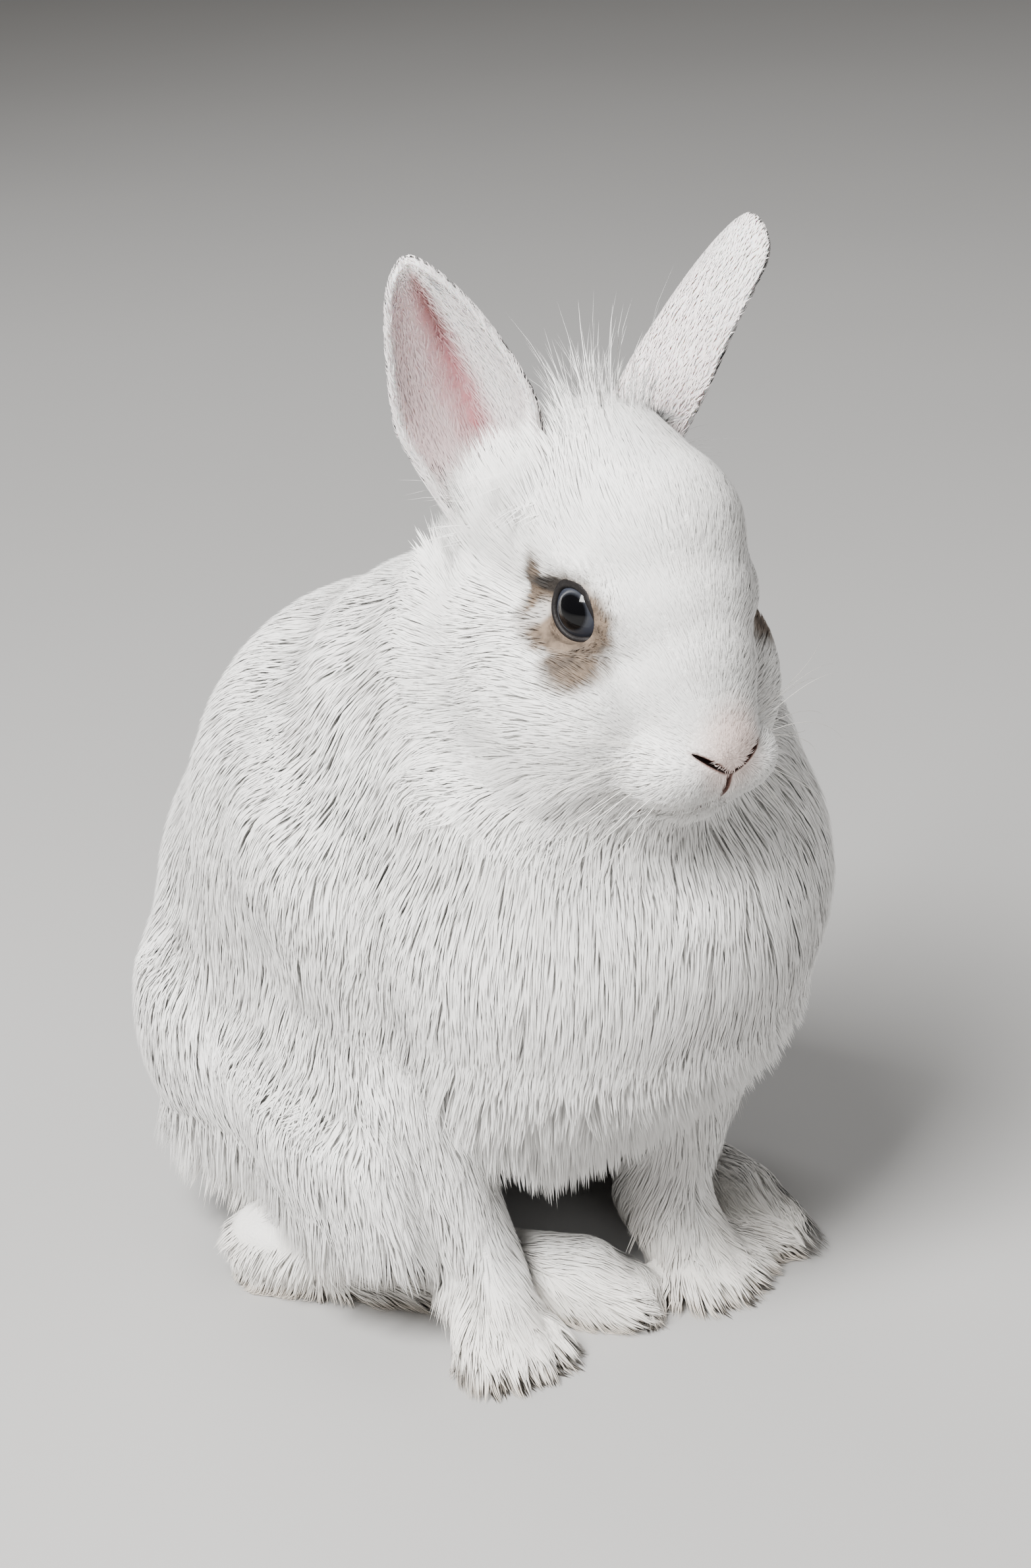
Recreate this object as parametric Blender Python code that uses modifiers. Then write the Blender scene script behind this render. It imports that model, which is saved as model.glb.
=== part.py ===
"""Life-size still model of a small white pet rabbit, sitting upright on its four feet.

The rabbit faces -Y, its right side is at -X and the floor is Z = 0. Sizes are in metres and
are those of the coat's outer outline. The body is rounded masses fused into one skin, which
is then parted into the pieces that a person would name, with a thin gap between them.
"""

import math
import random

import bmesh
import bpy
import numpy as np
from mathutils import Matrix, Vector
from mathutils.bvhtree import BVHTree

# Driving sizes of the whole animal.
HIP_HALF_WIDTH = 0.058
CHEST_HALF_WIDTH = 0.058
BACK_HEIGHT = 0.160
EAR_SUNK = 0.016
EAR_HALF_WIDTH = 0.0172
EAR_THICKNESS = 0.0024
EYE_RADIUS = 0.0076
EYE_SLIT_LENGTH = 0.0120
EYE_SLIT_HEIGHT = 0.0100
EYE_SLIT_SLOPE = math.radians(38)
LID_THICKNESS = 0.0022
NOSTRIL_SLOPE = 38.0
MOUTH_DROOP = 22.0

# A lock's width at each of its stations, how deep its root is sunk and how far it strays.
LOCK_PROFILE = (0.7, 1.0, 0.66)
LOCK_BURIED = 0.0010
LOCK_RISE = 1.5
LOCK_SWAY = 0.20
LOCK_CLEARANCE = 0.0008

# The gap that two neighbouring pieces keep, and how fine the skin and its cutters are.
GAP = 0.0003
BODY_GRID = 0.0017
SOFTENING = 80
SKIN_TRIANGLES = 4300
CUTTER_SEGMENTS = 18
FACE_CUTTER_SEGMENTS = 12
SEED = 7

# The line of the spine, bent: the hips face the front and the chest turns to the right.
HIPS = Vector((-0.003, 0.045, 0.074))
LOIN = Vector((-0.008, 0.026, 0.104))
WITHERS = Vector((-0.016, -0.002, 0.126))
CHEST = Vector((-0.013, -0.030, 0.104))
NECK = Vector((-0.021, -0.026, 0.158))
CHEST_TURN = 20.0

# The head's own axes stand midway between its eyes: X to its left, -Y ahead, Z up.
HEAD = Vector((-0.0257, -0.0627, 0.1794))
HEAD_TURN = 15.0
HEAD_TILT = 4.0
EYE_SIDE = 0.0145
EYE_AIM = Vector((0.93, 0.25, 0.10))

# Where the feet stand: each foot's toes, and for a hind foot its heel.
FOREPAWS = {"right": Vector((-0.049, -0.024, 0)), "left": Vector((0.0015, -0.041, 0))}
FOREPAW_TURNS = {"right": 22.0, "left": 2.0}
ELBOWS = {"right": Vector((-0.050, -0.002, 0.064)), "left": Vector((0.012, -0.040, 0.064))}
HIND_TOES = {"right": Vector((-0.0245, -0.030, 0)), "left": Vector((0.0245, -0.040, 0))}
HIND_HEELS = {"right": Vector((-0.052, 0.039, 0)), "left": Vector((0.050, 0.036, 0))}
KNEES = {"right": Vector((-0.056, -0.006, 0.034)), "left": Vector((0.050, -0.012, 0.034))}
TAIL = Vector((-0.002, 0.0975, 0.042))
SIDES = {"right": -1, "left": 1}


def turn_of(degrees, axis="Z"):
    """A rotation by some degrees about one axis."""
    return Matrix.Rotation(math.radians(degrees), 4, axis)


def head_frame():
    """The head's own axes, turned to its right and tilted a little to its left."""
    return Matrix.Translation(HEAD) @ turn_of(-HEAD_TURN) @ turn_of(HEAD_TILT, "Y")


def add_ball(bm, centre, radii, turn=None):
    """Adds an ellipsoid with the given radii, turned by a rotation matrix."""
    turn = turn or Matrix.Identity(4)
    place = Matrix.Translation(centre) @ turn @ Matrix.Diagonal((*radii, 1))
    ball = bmesh.new()
    bmesh.ops.create_uvsphere(ball, u_segments=28, v_segments=18, radius=1, matrix=place)
    mesh = bpy.data.meshes.new("ball")
    ball.to_mesh(mesh)
    ball.free()
    bm.from_mesh(mesh)
    bpy.data.meshes.remove(mesh)


def add_limb(bm, joints, radii, steps=7):
    """Adds a tapering limb: balls set close along straight runs between its joints."""
    for (start, end), (first, last) in zip(zip(joints, joints[1:]), zip(radii, radii[1:])):
        for step in range(steps + 1):
            share = step / steps
            radius = first + (last - first) * share
            add_ball(bm, start.lerp(end, share), (radius, radius, radius))


def add_head_ball(bm, side, ahead, up, radii, pitch=0.0):
    """Adds a ball at a place in the head's own axes, on both sides where side isn't 0."""
    frame = head_frame()
    for sign in ((1, -1) if side else (1,)):
        place = frame @ Vector((sign * side, -ahead, up))
        turn = turn_of(-HEAD_TURN) @ turn_of(HEAD_TILT, "Y") @ turn_of(pitch, "X")
        add_ball(bm, place, radii, turn)


def new_object(name, bm, collection):
    """Makes a mesh object of a bmesh, at the world's origin."""
    mesh = bpy.data.meshes.new(name)
    bm.to_mesh(mesh)
    bm.free()
    obj = bpy.data.objects.new(name, mesh)
    collection.objects.link(obj)
    return obj


def settle(obj):
    """Replaces an object's mesh with what its modifiers make of it."""
    bpy.context.view_layer.update()
    graph = bpy.context.evaluated_depsgraph_get()
    mesh = bpy.data.meshes.new_from_object(obj.evaluated_get(graph))
    old = obj.data
    obj.modifiers.clear()
    obj.data = mesh
    bpy.data.meshes.remove(old)
    return obj


def combine(obj, other, operation):
    """Cuts obj by other, joins them, or keeps what they share, and applies the result."""
    cut = obj.modifiers.new(operation.title(), "BOOLEAN")
    cut.operation = operation
    cut.object = other
    cut.solver = "MANIFOLD"
    return settle(obj)


def copy_of(obj, name, collection, grow=0.0):
    """A copy of an object, with its surface moved outwards by grow."""
    made = bpy.data.objects.new(name, obj.data.copy())
    collection.objects.link(made)
    if grow:
        normals = [v.normal.copy() for v in made.data.vertices]
        for vertex, normal in zip(made.data.vertices, normals):
            vertex.co += normal * grow
    return made


def remove(obj):
    """Removes an object and its mesh."""
    mesh = obj.data
    bpy.data.objects.remove(obj)
    bpy.data.meshes.remove(mesh)


def keep_largest(obj):
    """Keeps only the largest closed surface of a mesh."""
    bm = bmesh.new()
    bm.from_mesh(obj.data)
    bmesh.ops.triangulate(bm, faces=bm.faces[:])
    left = set(bm.faces)
    shells = []
    while left:
        front = [left.pop()]
        shell = list(front)
        while front:
            face = front.pop()
            for edge in face.edges:
                for other in edge.link_faces:
                    if other in left:
                        left.remove(other)
                        front.append(other)
                        shell.append(other)
        shells.append(shell)

    def volume(shell):
        return sum(
            f.verts[0].co.dot(f.verts[1].co.cross(f.verts[2].co)) for f in shell
        )

    best = max(shells, key=volume)
    for shell in shells:
        if shell is not best:
            bmesh.ops.delete(bm, geom=shell, context="FACES")
    loose = [v for v in bm.verts if not v.link_faces]
    bmesh.ops.delete(bm, geom=loose, context="VERTS")
    bm.to_mesh(obj.data)
    bm.free()
    return obj


def add_trunk(bm):
    """The hips, back, chest, belly and neck."""
    chest_turn = turn_of(-CHEST_TURN)
    add_ball(bm, HIPS, (0.050, 0.054, 0.065))
    add_ball(bm, HIPS + Vector((0, 0.004, -0.030)), (0.042, 0.044, 0.034))
    add_ball(bm, LOIN, (0.051, 0.054, BACK_HEIGHT - LOIN.z + 0.004))
    add_ball(bm, WITHERS, (0.046, 0.046, 0.052))
    add_ball(bm, LOIN.lerp(CHEST, 0.5), (0.056, 0.050, 0.056))
    add_ball(bm, CHEST, (CHEST_HALF_WIDTH, 0.050, 0.055), chest_turn)
    add_ball(bm, CHEST + Vector((0.004, 0.016, -0.036)), (0.050, 0.046, 0.034))
    add_ball(bm, NECK, (0.036, 0.036, 0.034))
    add_ball(bm, CHEST + Vector((-0.004, -0.004, 0.030)), (0.050, 0.042, 0.030), chest_turn)
    add_ball(bm, WITHERS + Vector((0, 0.010, -0.012)), (0.054, 0.048, 0.046))


def add_haunch(bm, side):
    """The thigh, which spreads from the hip down to the knee."""
    sign = SIDES[side]
    hip = HIPS + Vector((sign * (HIP_HALF_WIDTH - 0.024), -0.004, -0.010))
    knee = KNEES[side]
    axis = (knee - hip).normalized()
    turn = axis.to_track_quat("-Y", "Z").to_matrix().to_4x4()
    add_ball(bm, hip.lerp(knee, 0.42), (0.024, 0.045, 0.031), turn)
    add_ball(bm, knee + Vector((0, 0.006, 0.002)), (0.015, 0.019, 0.017))
    add_ball(bm, hip + Vector((-sign * 0.002, 0.014, -0.006)), (0.026, 0.034, 0.040))


def add_hind_foot(bm, side):
    """The long hind foot, flat on the floor from its heel to its four toes."""
    heel, toes = HIND_HEELS[side], HIND_TOES[side]
    lift = Vector((0, 0, 0.0085))
    add_limb(bm, [heel + lift, toes + lift], [0.0105, 0.0105])
    add_limb(bm, [heel + Vector((0, 0.002, 0.013)), KNEES[side]], [0.0125, 0.015])
    ahead = (toes - heel).normalized()
    across = Vector((-ahead.y, ahead.x, 0))
    for toe in range(4):
        sideways = (toe - 1.5) * 0.0048
        reach = 0.0105 - 0.0012 * abs(toe - 1.5) ** 2
        place = toes + ahead * reach + across * sideways + Vector((0, 0, 0.0062))
        turn = ahead.to_track_quat("-Y", "Z").to_matrix().to_4x4()
        add_ball(bm, place, (0.0036, 0.0088, 0.0060), turn)


def add_foreleg(bm, side):
    """The straight foreleg and its forepaw with four toes to the front."""
    paw = FOREPAWS[side]
    ahead = turn_of(-FOREPAW_TURNS[side]) @ Vector((0, -1, 0))
    across = Vector((-ahead.y, ahead.x, 0))
    wrist = paw - ahead * 0.008 + Vector((0, 0, 0.020))
    elbow = ELBOWS[side]
    add_limb(bm, [wrist, elbow], [0.0112, 0.0168])
    add_limb(bm, [wrist, paw + ahead * 0.002 + Vector((0, 0, 0.0065))], [0.0112, 0.0105])
    for toe in range(4):
        sideways = (toe - 1.5) * 0.0064
        reach = 0.0100 - 0.0013 * abs(toe - 1.5) ** 2
        place = paw + ahead * reach + across * sideways + Vector((0, 0, 0.0048))
        turn = ahead.to_track_quat("-Y", "Z").to_matrix().to_4x4()
        add_ball(bm, place, (0.0046, 0.0085, 0.0062), turn)


def add_tail(bm):
    """The short round tail, turned up against the rump."""
    add_ball(bm, TAIL, (0.0175, 0.0180, 0.0205), turn_of(-20, "X"))


def add_head(bm):
    """The skull, cheeks, muzzle and jaw, in the head's own axes."""
    add_head_ball(bm, 0, -0.0150, 0.0115, (0.0255, 0.0270, 0.0255))
    add_head_ball(bm, 0, -0.0050, 0.0130, (0.0245, 0.0225, 0.0215))
    add_head_ball(bm, 0, 0.0015, 0.0000, (0.0175, 0.0195, 0.0190), 12)
    add_head_ball(bm, 0, 0.0090, -0.0150, (0.0145, 0.0145, 0.0200), 12)
    add_head_ball(bm, 0, 0.0185, -0.0270, (0.0112, 0.0082, 0.0098), 10)
    add_head_ball(bm, 0.0078, 0.0142, -0.0318, (0.0108, 0.0112, 0.0090))
    add_head_ball(bm, 0.0145, -0.0110, -0.0250, (0.0165, 0.0245, 0.0245))
    add_head_ball(bm, 0, -0.0060, -0.0360, (0.0190, 0.0240, 0.0130))
    add_head_ball(bm, 0, 0.0098, -0.0410, (0.0100, 0.0105, 0.0060))
    add_head_ball(bm, 0.0170, -0.0040, 0.0100, (0.0065, 0.0110, 0.0050))
    add_head_ball(bm, 0.0140, 0.0010, 0.0000, (0.0082, 0.0125, 0.0115))
    add_head_ball(bm, 0.0130, -0.0320, 0.0160, (0.0110, 0.0120, 0.0130))
    add_head_ball(bm, 0, -0.0300, -0.0080, (0.0250, 0.0240, 0.0280))


def near(point, centre, reach, fade):
    """1 within reach of a centre, falling to 0 over the fade beyond it."""
    share = (reach + fade - (point - centre).length) / fade
    return max(0.0, min(1.0, share))


def detail_at(point):
    """How fine the form is at a point: 1 on the face and feet, 0 on the trunk."""
    face = near(point, HEAD + Vector((0, 0, -0.006)), 0.036, 0.014)
    feet = max(0.0, min(1.0, (0.030 - point.z) / 0.010))
    return max(face, feet)


def fused_body(collection):
    """The whole body as one closed skin, softened where it is broad and fine on the face."""
    bm = bmesh.new()
    add_trunk(bm)
    add_head(bm)
    add_tail(bm)
    for side in SIDES:
        add_haunch(bm, side)
        add_hind_foot(bm, side)
        add_foreleg(bm, side)
    body = new_object("body", bm, collection)
    remesh = body.modifiers.new("Fuse", "REMESH")
    remesh.mode = "VOXEL"
    remesh.voxel_size = BODY_GRID
    settle(body)
    broad = body.vertex_groups.new(name="broad")
    for vertex in body.data.vertices:
        broad.add([vertex.index], 1.0 - detail_at(vertex.co), "REPLACE")
    soften = body.modifiers.new("Soften", "SMOOTH")
    soften.factor = 0.5
    soften.iterations = SOFTENING
    soften.vertex_group = "broad"
    finish = body.modifiers.new("Finish", "SMOOTH")
    finish.factor = 0.5
    finish.iterations = 9
    settle(body)
    thin = body.modifiers.new("Thin", "DECIMATE")
    thin.ratio = SKIN_TRIANGLES / (2 * len(body.data.polygons))
    settle(body)
    body.vertex_groups.clear()
    return body


def box_cutter(name, low, high, collection):
    """A plain box between two corners."""
    bm = bmesh.new()
    size = Vector(high) - Vector(low)
    middle = (Vector(high) + Vector(low)) / 2
    place = Matrix.Translation(middle) @ Matrix.Diagonal((*size, 1))
    bmesh.ops.create_cube(bm, size=1, matrix=place)
    return new_object(name, bm, collection)


def ball_cutter(name, centre, radii, collection, turn=None, segments=CUTTER_SEGMENTS):
    """A rounded cutter, on finer faces than the masses have."""
    bm = bmesh.new()
    turn = turn or Matrix.Identity(4)
    place = Matrix.Translation(centre) @ turn @ Matrix.Diagonal((*radii, 1))
    bands = segments * 3 // 5
    bmesh.ops.create_uvsphere(bm, u_segments=segments, v_segments=bands, radius=1, matrix=place)
    return new_object(name, bm, collection)


def claim(body, name, cutter, parts, helpers):
    """Takes what the cutter holds out of the body as a piece of its own, with a gap round it."""
    piece = copy_of(body, name, parts)
    combine(piece, cutter, "INTERSECT")
    wider = copy_of(cutter, "wider", helpers, GAP)
    combine(body, wider, "DIFFERENCE")
    remove(wider)
    remove(cutter)
    return keep_largest(piece)


def foot_cutter(side, helpers):
    """Round one hind foot: a long block in its direction, up to the hock."""
    heel, toes = HIND_HEELS[side], HIND_TOES[side]
    middle = (heel + toes) / 2 + Vector((0, 0, 0.006))
    turn = (toes - heel).to_track_quat("-Y", "Z").to_matrix().to_4x4()
    return ball_cutter("foot_cutter", middle, (0.0135, 0.062, 0.0200), helpers, turn)


def leg_cutter(side, helpers):
    """Round one foreleg, from its paw to the elbow."""
    paw, elbow = FOREPAWS[side], ELBOWS[side]
    middle = paw.lerp(elbow, 0.42)
    turn = (elbow - paw).to_track_quat("Z", "Y").to_matrix().to_4x4()
    return ball_cutter("leg_cutter", middle, (0.0215, 0.0240, 0.0440), helpers, turn)


def haunch_cutter(side, helpers):
    """Round one thigh, which bulges from the hip."""
    sign = SIDES[side]
    hip = HIPS + Vector((sign * (HIP_HALF_WIDTH - 0.010), 0, -0.008))
    knee = KNEES[side] + Vector((sign * 0.006, 0, 0))
    turn = (knee - hip).to_track_quat("-Y", "Z").to_matrix().to_4x4()
    return ball_cutter("haunch_cutter", hip.lerp(knee, 0.42), (0.024, 0.052, 0.036), helpers, turn)


def ear_half_width(share, taper):
    """Half the width of an ear laid flat, at a share of its length from the root."""
    from_tip = (1 - share) * taper
    return EAR_HALF_WIDTH * (1 - math.exp(-from_tip ** 1.1)) + 0.0004


def ear_curl(share):
    """Half the angle that an ear's section curls through, in radians."""
    return math.radians(50 + 82 * max(0.0, 1 - share * 1.15) ** 1.4)


EAR_ROOT = (0.0150, -0.0335, 0.0220)
EAR_TIPS = {"right": (0.0447, -0.0235, 0.0722), "left": (0.0442, -0.0235, 0.0703)}
EAR_OPENINGS = {"right": 45.0, "left": 80.0}
EAR_TAPERS = {"right": 4.2, "left": 6.5}


def ear_shell(side, parts):
    """A cupped ear: a sheet curled about its length, given its thickness."""
    rows, columns = 12, 8
    sign = SIDES[side]
    frame = head_frame()
    root = frame @ Vector((sign * EAR_ROOT[0], -EAR_ROOT[1], EAR_ROOT[2]))
    outwards, ahead, up = EAR_TIPS[side]
    tip = frame @ Vector((sign * outwards, -ahead, up))
    axis = (tip - root).normalized()
    facing = frame.to_3x3() @ turn_of(sign * EAR_OPENINGS[side]).to_3x3() @ Vector((0, -1, 0))
    facing = (facing - axis * facing.dot(axis)).normalized()
    across = axis.cross(facing)
    length = (tip - root).length + EAR_SUNK
    root -= axis * EAR_SUNK
    bm = bmesh.new()
    grid = []
    for row in range(rows + 1):
        share = 1 - (1 - row / rows) ** 1.25
        half = ear_half_width(share, EAR_TAPERS[side])
        curl = ear_curl(share)
        radius = half / curl
        spine = root + axis * (share * length) - facing * (0.004 * math.sin(share * math.pi))
        line = []
        for column in range(columns + 1):
            angle = (column / columns * 2 - 1) * curl
            sideways = across * (radius * math.sin(angle))
            place = spine + sideways + facing * (radius * (1 - math.cos(angle)))
            line.append(bm.verts.new(place))
        grid.append(line)
    for lower, upper in zip(grid, grid[1:]):
        for column in range(columns):
            bm.faces.new((lower[column], lower[column + 1], upper[column + 1], upper[column]))
    bmesh.ops.triangulate(bm, faces=bm.faces[:])
    bmesh.ops.recalc_face_normals(bm, faces=bm.faces[:])
    ear = new_object("ear_" + side, bm, parts)
    thick = ear.modifiers.new("Thickness", "SOLIDIFY")
    thick.thickness = EAR_THICKNESS
    thick.offset = 0.0
    settle(ear)
    bm = bmesh.new()
    bm.from_mesh(ear.data)
    bmesh.ops.recalc_face_normals(bm, faces=bm.faces[:])
    bm.to_mesh(ear.data)
    bm.free()
    return ear


def face_ball(name, side, ahead, up, radii, collection, turn=None):
    """A rounded cutter at a place in the head's own axes; its side is to the left."""
    frame = head_frame()
    centre = frame @ Vector((side, -ahead, up))
    axes = frame.to_3x3().to_4x4() @ (turn or Matrix.Identity(4))
    return ball_cutter(name, centre, radii, collection, axes, FACE_CUTTER_SEGMENTS)


def cut_mouth(head, helpers):
    """Cuts the nostrils, the cleft under the nose and the line of the mouth."""
    cleft = face_ball("cleft", 0, 0.0248, -0.0362, (0.0007, 0.0050, 0.0055), helpers)
    cutters = [cleft]
    for sign in SIDES.values():
        slope = turn_of(-sign * NOSTRIL_SLOPE, "Y")
        radii = (0.0046, 0.0042, 0.0008)
        slit = face_ball("nostril", sign * 0.0052, 0.0238, -0.0295, radii, helpers, slope)
        droop = turn_of(sign * MOUTH_DROOP, "Y")
        radii = (0.0075, 0.0110, 0.0007)
        lip = face_ball("lip", sign * 0.0062, 0.0142, -0.0398, radii, helpers, droop)
        cutters += [slit, lip]
    for cutter in cutters:
        combine(head, cutter, "DIFFERENCE")
        remove(cutter)


def eye_axes(side):
    """An eye's own axes: Z out of the socket, X along the slit to its front corner."""
    centre, aim = eye_place(side)
    corner = head_frame().to_3x3() @ Vector((0, -math.cos(EYE_SLIT_SLOPE), -math.sin(EYE_SLIT_SLOPE)))
    along = (corner - aim * corner.dot(aim)).normalized()
    across = aim.cross(along)
    axes = Matrix((along, across, aim)).transposed().to_4x4()
    return Matrix.Translation(centre) @ axes


def lid_ring(side, helpers):
    """The rims of both lids: one closed almond that lies on the eyeball."""
    frame = eye_axes(side)
    curve = bpy.data.curves.new("lid", "CURVE")
    curve.dimensions = "3D"
    curve.bevel_depth = LID_THICKNESS / 2
    curve.bevel_resolution = 1
    steps = 16
    spline = curve.splines.new("POLY")
    spline.points.add(steps - 1)
    spline.use_cyclic_u = True
    for step in range(steps):
        angle = step / steps * math.tau
        along = math.cos(angle) * EYE_SLIT_LENGTH / 2
        narrow = 1 - 0.22 * abs(math.cos(angle)) ** 3
        across = math.sin(angle) * EYE_SLIT_HEIGHT / 2 * narrow
        reach = EYE_RADIUS + LID_THICKNESS * 0.18
        out = math.sqrt(reach ** 2 - along ** 2 - across ** 2)
        spline.points[step].co = (*(frame @ Vector((along, across, out))), 1)
    source = bpy.data.objects.new("lid", curve)
    helpers.objects.link(source)
    bpy.context.view_layer.update()
    graph = bpy.context.evaluated_depsgraph_get()
    mesh = bpy.data.meshes.new_from_object(source.evaluated_get(graph))
    bpy.data.objects.remove(source)
    bpy.data.curves.remove(curve)
    bm = bmesh.new()
    bm.from_mesh(mesh)
    bpy.data.meshes.remove(mesh)
    bmesh.ops.remove_doubles(bm, verts=bm.verts[:], dist=0.00001)
    bmesh.ops.recalc_face_normals(bm, faces=bm.faces[:])
    return new_object("lid", bm, helpers)


def set_eye(head, side, parts, helpers):
    """Opens the socket, rims it with the lids and sets the eyeball in it."""
    frame = eye_axes(side)
    opening = (EYE_SLIT_LENGTH / 2, EYE_SLIT_HEIGHT / 2, EYE_RADIUS * 1.3)
    centre = frame @ Vector((0, 0, EYE_RADIUS * 1.0))
    window = ball_cutter("window", centre, opening, helpers, frame.to_3x3().to_4x4())
    combine(head, window, "DIFFERENCE")
    remove(window)
    ring = lid_ring(side, helpers)
    combine(head, ring, "UNION")
    remove(ring)
    reach = EYE_RADIUS
    turn = frame.to_3x3().to_4x4()
    eye = ball_cutter("eye_" + side, frame.translation, (reach, reach, reach), parts, turn)
    wider = copy_of(eye, "wider", helpers, GAP)
    combine(head, wider, "DIFFERENCE")
    remove(wider)


def eye_place(side):
    """The centre of an eyeball, and the way it looks."""
    sign = SIDES[side]
    frame = head_frame()
    centre = frame @ Vector((sign * EYE_SIDE, 0, 0))
    aim = frame.to_3x3() @ Vector((sign * EYE_AIM.x, -EYE_AIM.y, EYE_AIM.z))
    return centre, aim.normalized()


def material(name, colour, roughness):
    """A plain finish: a colour and how rough it is."""
    made = bpy.data.materials.new(name)
    made.use_nodes = True
    shader = made.node_tree.nodes["Principled BSDF"]
    shader.inputs["Base Color"].default_value = (*colour, 1)
    shader.inputs["Roughness"].default_value = roughness
    shader.inputs["Metallic"].default_value = 0.0
    return made


def add_lock(tree, root, lie, end, kind, size, collection):
    """One lock of fur: a flat blade that swells from its sunk root, bends and tapers out."""
    bm = bmesh.new()
    step = kind["length"] * size / len(LOCK_PROFILE)
    place = root.copy()
    rings = []
    for station, swell in enumerate(LOCK_PROFILE):
        share = station / len(LOCK_PROFILE)
        half = kind["width"] * size * swell / 2
        flat = half * kind["flatness"]
        surface, normal, _, _ = tree.find_nearest(place)
        ahead = lie.lerp(end, share).normalized()
        if share <= kind["hugs"]:
            sunk = (LOCK_BURIED + flat) * (1 - share * LOCK_RISE)
            place = surface + normal * (kind["proud"] * share - sunk)
            along = (ahead - normal * ahead.dot(normal)).normalized()
            ahead = along.lerp(ahead, kind["stands"]).normalized()
        side = normal.cross(ahead).normalized()
        up = ahead.cross(side)
        corners = (side * half, up * flat, -side * half, -up * flat)
        rings.append([bm.verts.new(place + corner) for corner in corners])
        place = place + ahead * step
    tip = bm.verts.new(place)
    for lower, upper in zip(rings, rings[1:]):
        for corner in range(4):
            after = (corner + 1) % 4
            bm.faces.new((lower[corner], lower[after], upper[after], upper[corner]))
    for corner in range(4):
        bm.faces.new((rings[-1][corner], rings[-1][(corner + 1) % 4], tip))
    bm.faces.new(rings[0][::-1])
    bmesh.ops.recalc_face_normals(bm, faces=bm.faces[:])
    return new_object("lock", bm, collection)


def join_all(obj, others):
    """Joins a collection's objects to one object in a single union and removes them."""
    if others.objects:
        join = obj.modifiers.new("Join", "BOOLEAN")
        join.operation = "UNION"
        join.operand_type = "COLLECTION"
        join.collection = others
        join.solver = "MANIFOLD"
        settle(obj)
    for other in list(others.objects):
        remove(other)
    bpy.data.collections.remove(others)


def comb(node, rows, chance, parts, helpers):
    """Sets rows of locks on a node and joins them to it in one union.

    Each row gives the kind of its locks, and for each lock a point inside the body, the way
    out of it to the coat and the lie of the hair there.
    """
    tree = BVHTree.FromObject(node, bpy.context.evaluated_depsgraph_get())
    locks = bpy.data.collections.new("locks")
    helpers.children.link(locks)
    for kind, seeds in rows:
        for inside, outwards, lie in seeds:
            outwards = Vector(outwards).normalized()
            stray, sway, bend = (
                Vector([chance.uniform(-reach, reach) for _ in range(3)])
                for reach in (kind["stray"], LOCK_SWAY, LOCK_SWAY)
            )
            root = tree.ray_cast(inside + stray + outwards * 0.2, -outwards)[0]
            if root is None:
                continue
            flow = (Vector(lie).normalized() + sway).normalized()
            end = (flow + Vector(kind["bends"]) + bend).normalized()
            size = chance.uniform(*kind["sizes"])
            add_lock(tree, root, flow, end, kind, size, locks)
    coat = copy_of(locks.objects[0], "coat", helpers)
    remove(locks.objects[0])
    join_all(coat, locks)
    for other in parts.objects:
        if other is not node:
            wider = copy_of(other, "wider", helpers, LOCK_CLEARANCE)
            if boxes_meet(coat, wider):
                combine(coat, wider, "DIFFERENCE")
            remove(wider)
    combine(node, coat, "UNION")
    remove(coat)
    keep_largest(node)


def spread(first, last, count):
    """Evenly spaced values from first to last, ends included."""
    return [first + (last - first) * i / (count - 1) for i in range(count)]


def around(centre, turns, dip, lie):
    """Seeds round a centre: one outward way for each turn from the front, at one dip."""
    seeds = []
    for turn in turns:
        out = turn_of(turn) @ Vector((0, -math.cos(dip), -math.sin(dip)))
        seeds.append((centre, out, lie))
    return seeds


def lock_kind(length, width, **changes):
    """The form of a row's locks; a lock that lies flat hugs the coat up to a share of it."""
    kind = {
        "length": length, "width": width, "flatness": 0.24, "hugs": 0.7, "proud": 0.0016,
        "stands": 0.0, "stray": 0.0035, "bends": (0, 0, 0), "sizes": (0.8, 1.2),
    }
    kind.update(changes)
    return kind


def chest_rows():
    """The ruff: two staggered rows down the chest, the lower hanging past it as a fringe."""
    down = (0, -0.02, -1)
    turn = -CHEST_TURN
    low = around(CHEST, spread(turn - 66, turn + 60, 11), math.radians(24), down)
    middle = around(CHEST, spread(turn - 60, turn + 54, 9), math.radians(6), down)
    fringe = lock_kind(0.040, 0.0165, hugs=0.4, proud=0.0040, bends=(0, 0.25, -0.2), stray=0.005)
    return [(fringe, low), (lock_kind(0.034, 0.0180, hugs=0.7, proud=0.0034, stray=0.006), middle)]


def cheek_rows():
    """Fur that hangs from the cheeks and jaw, back and down."""
    frame = head_frame()
    axes = frame.to_3x3()
    seeds = []
    for sign in SIDES.values():
        for back in spread(0.000, 0.027, 4):
            inside = frame @ Vector((sign * 0.012, back, -0.024))
            out = axes @ Vector((sign * 0.85, 0.1, -0.50))
            seeds.append((inside, out, axes @ Vector((sign * 0.10, 0.8, -0.7))))
    return [(lock_kind(0.017, 0.0090, stray=0.002), seeds)]


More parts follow.
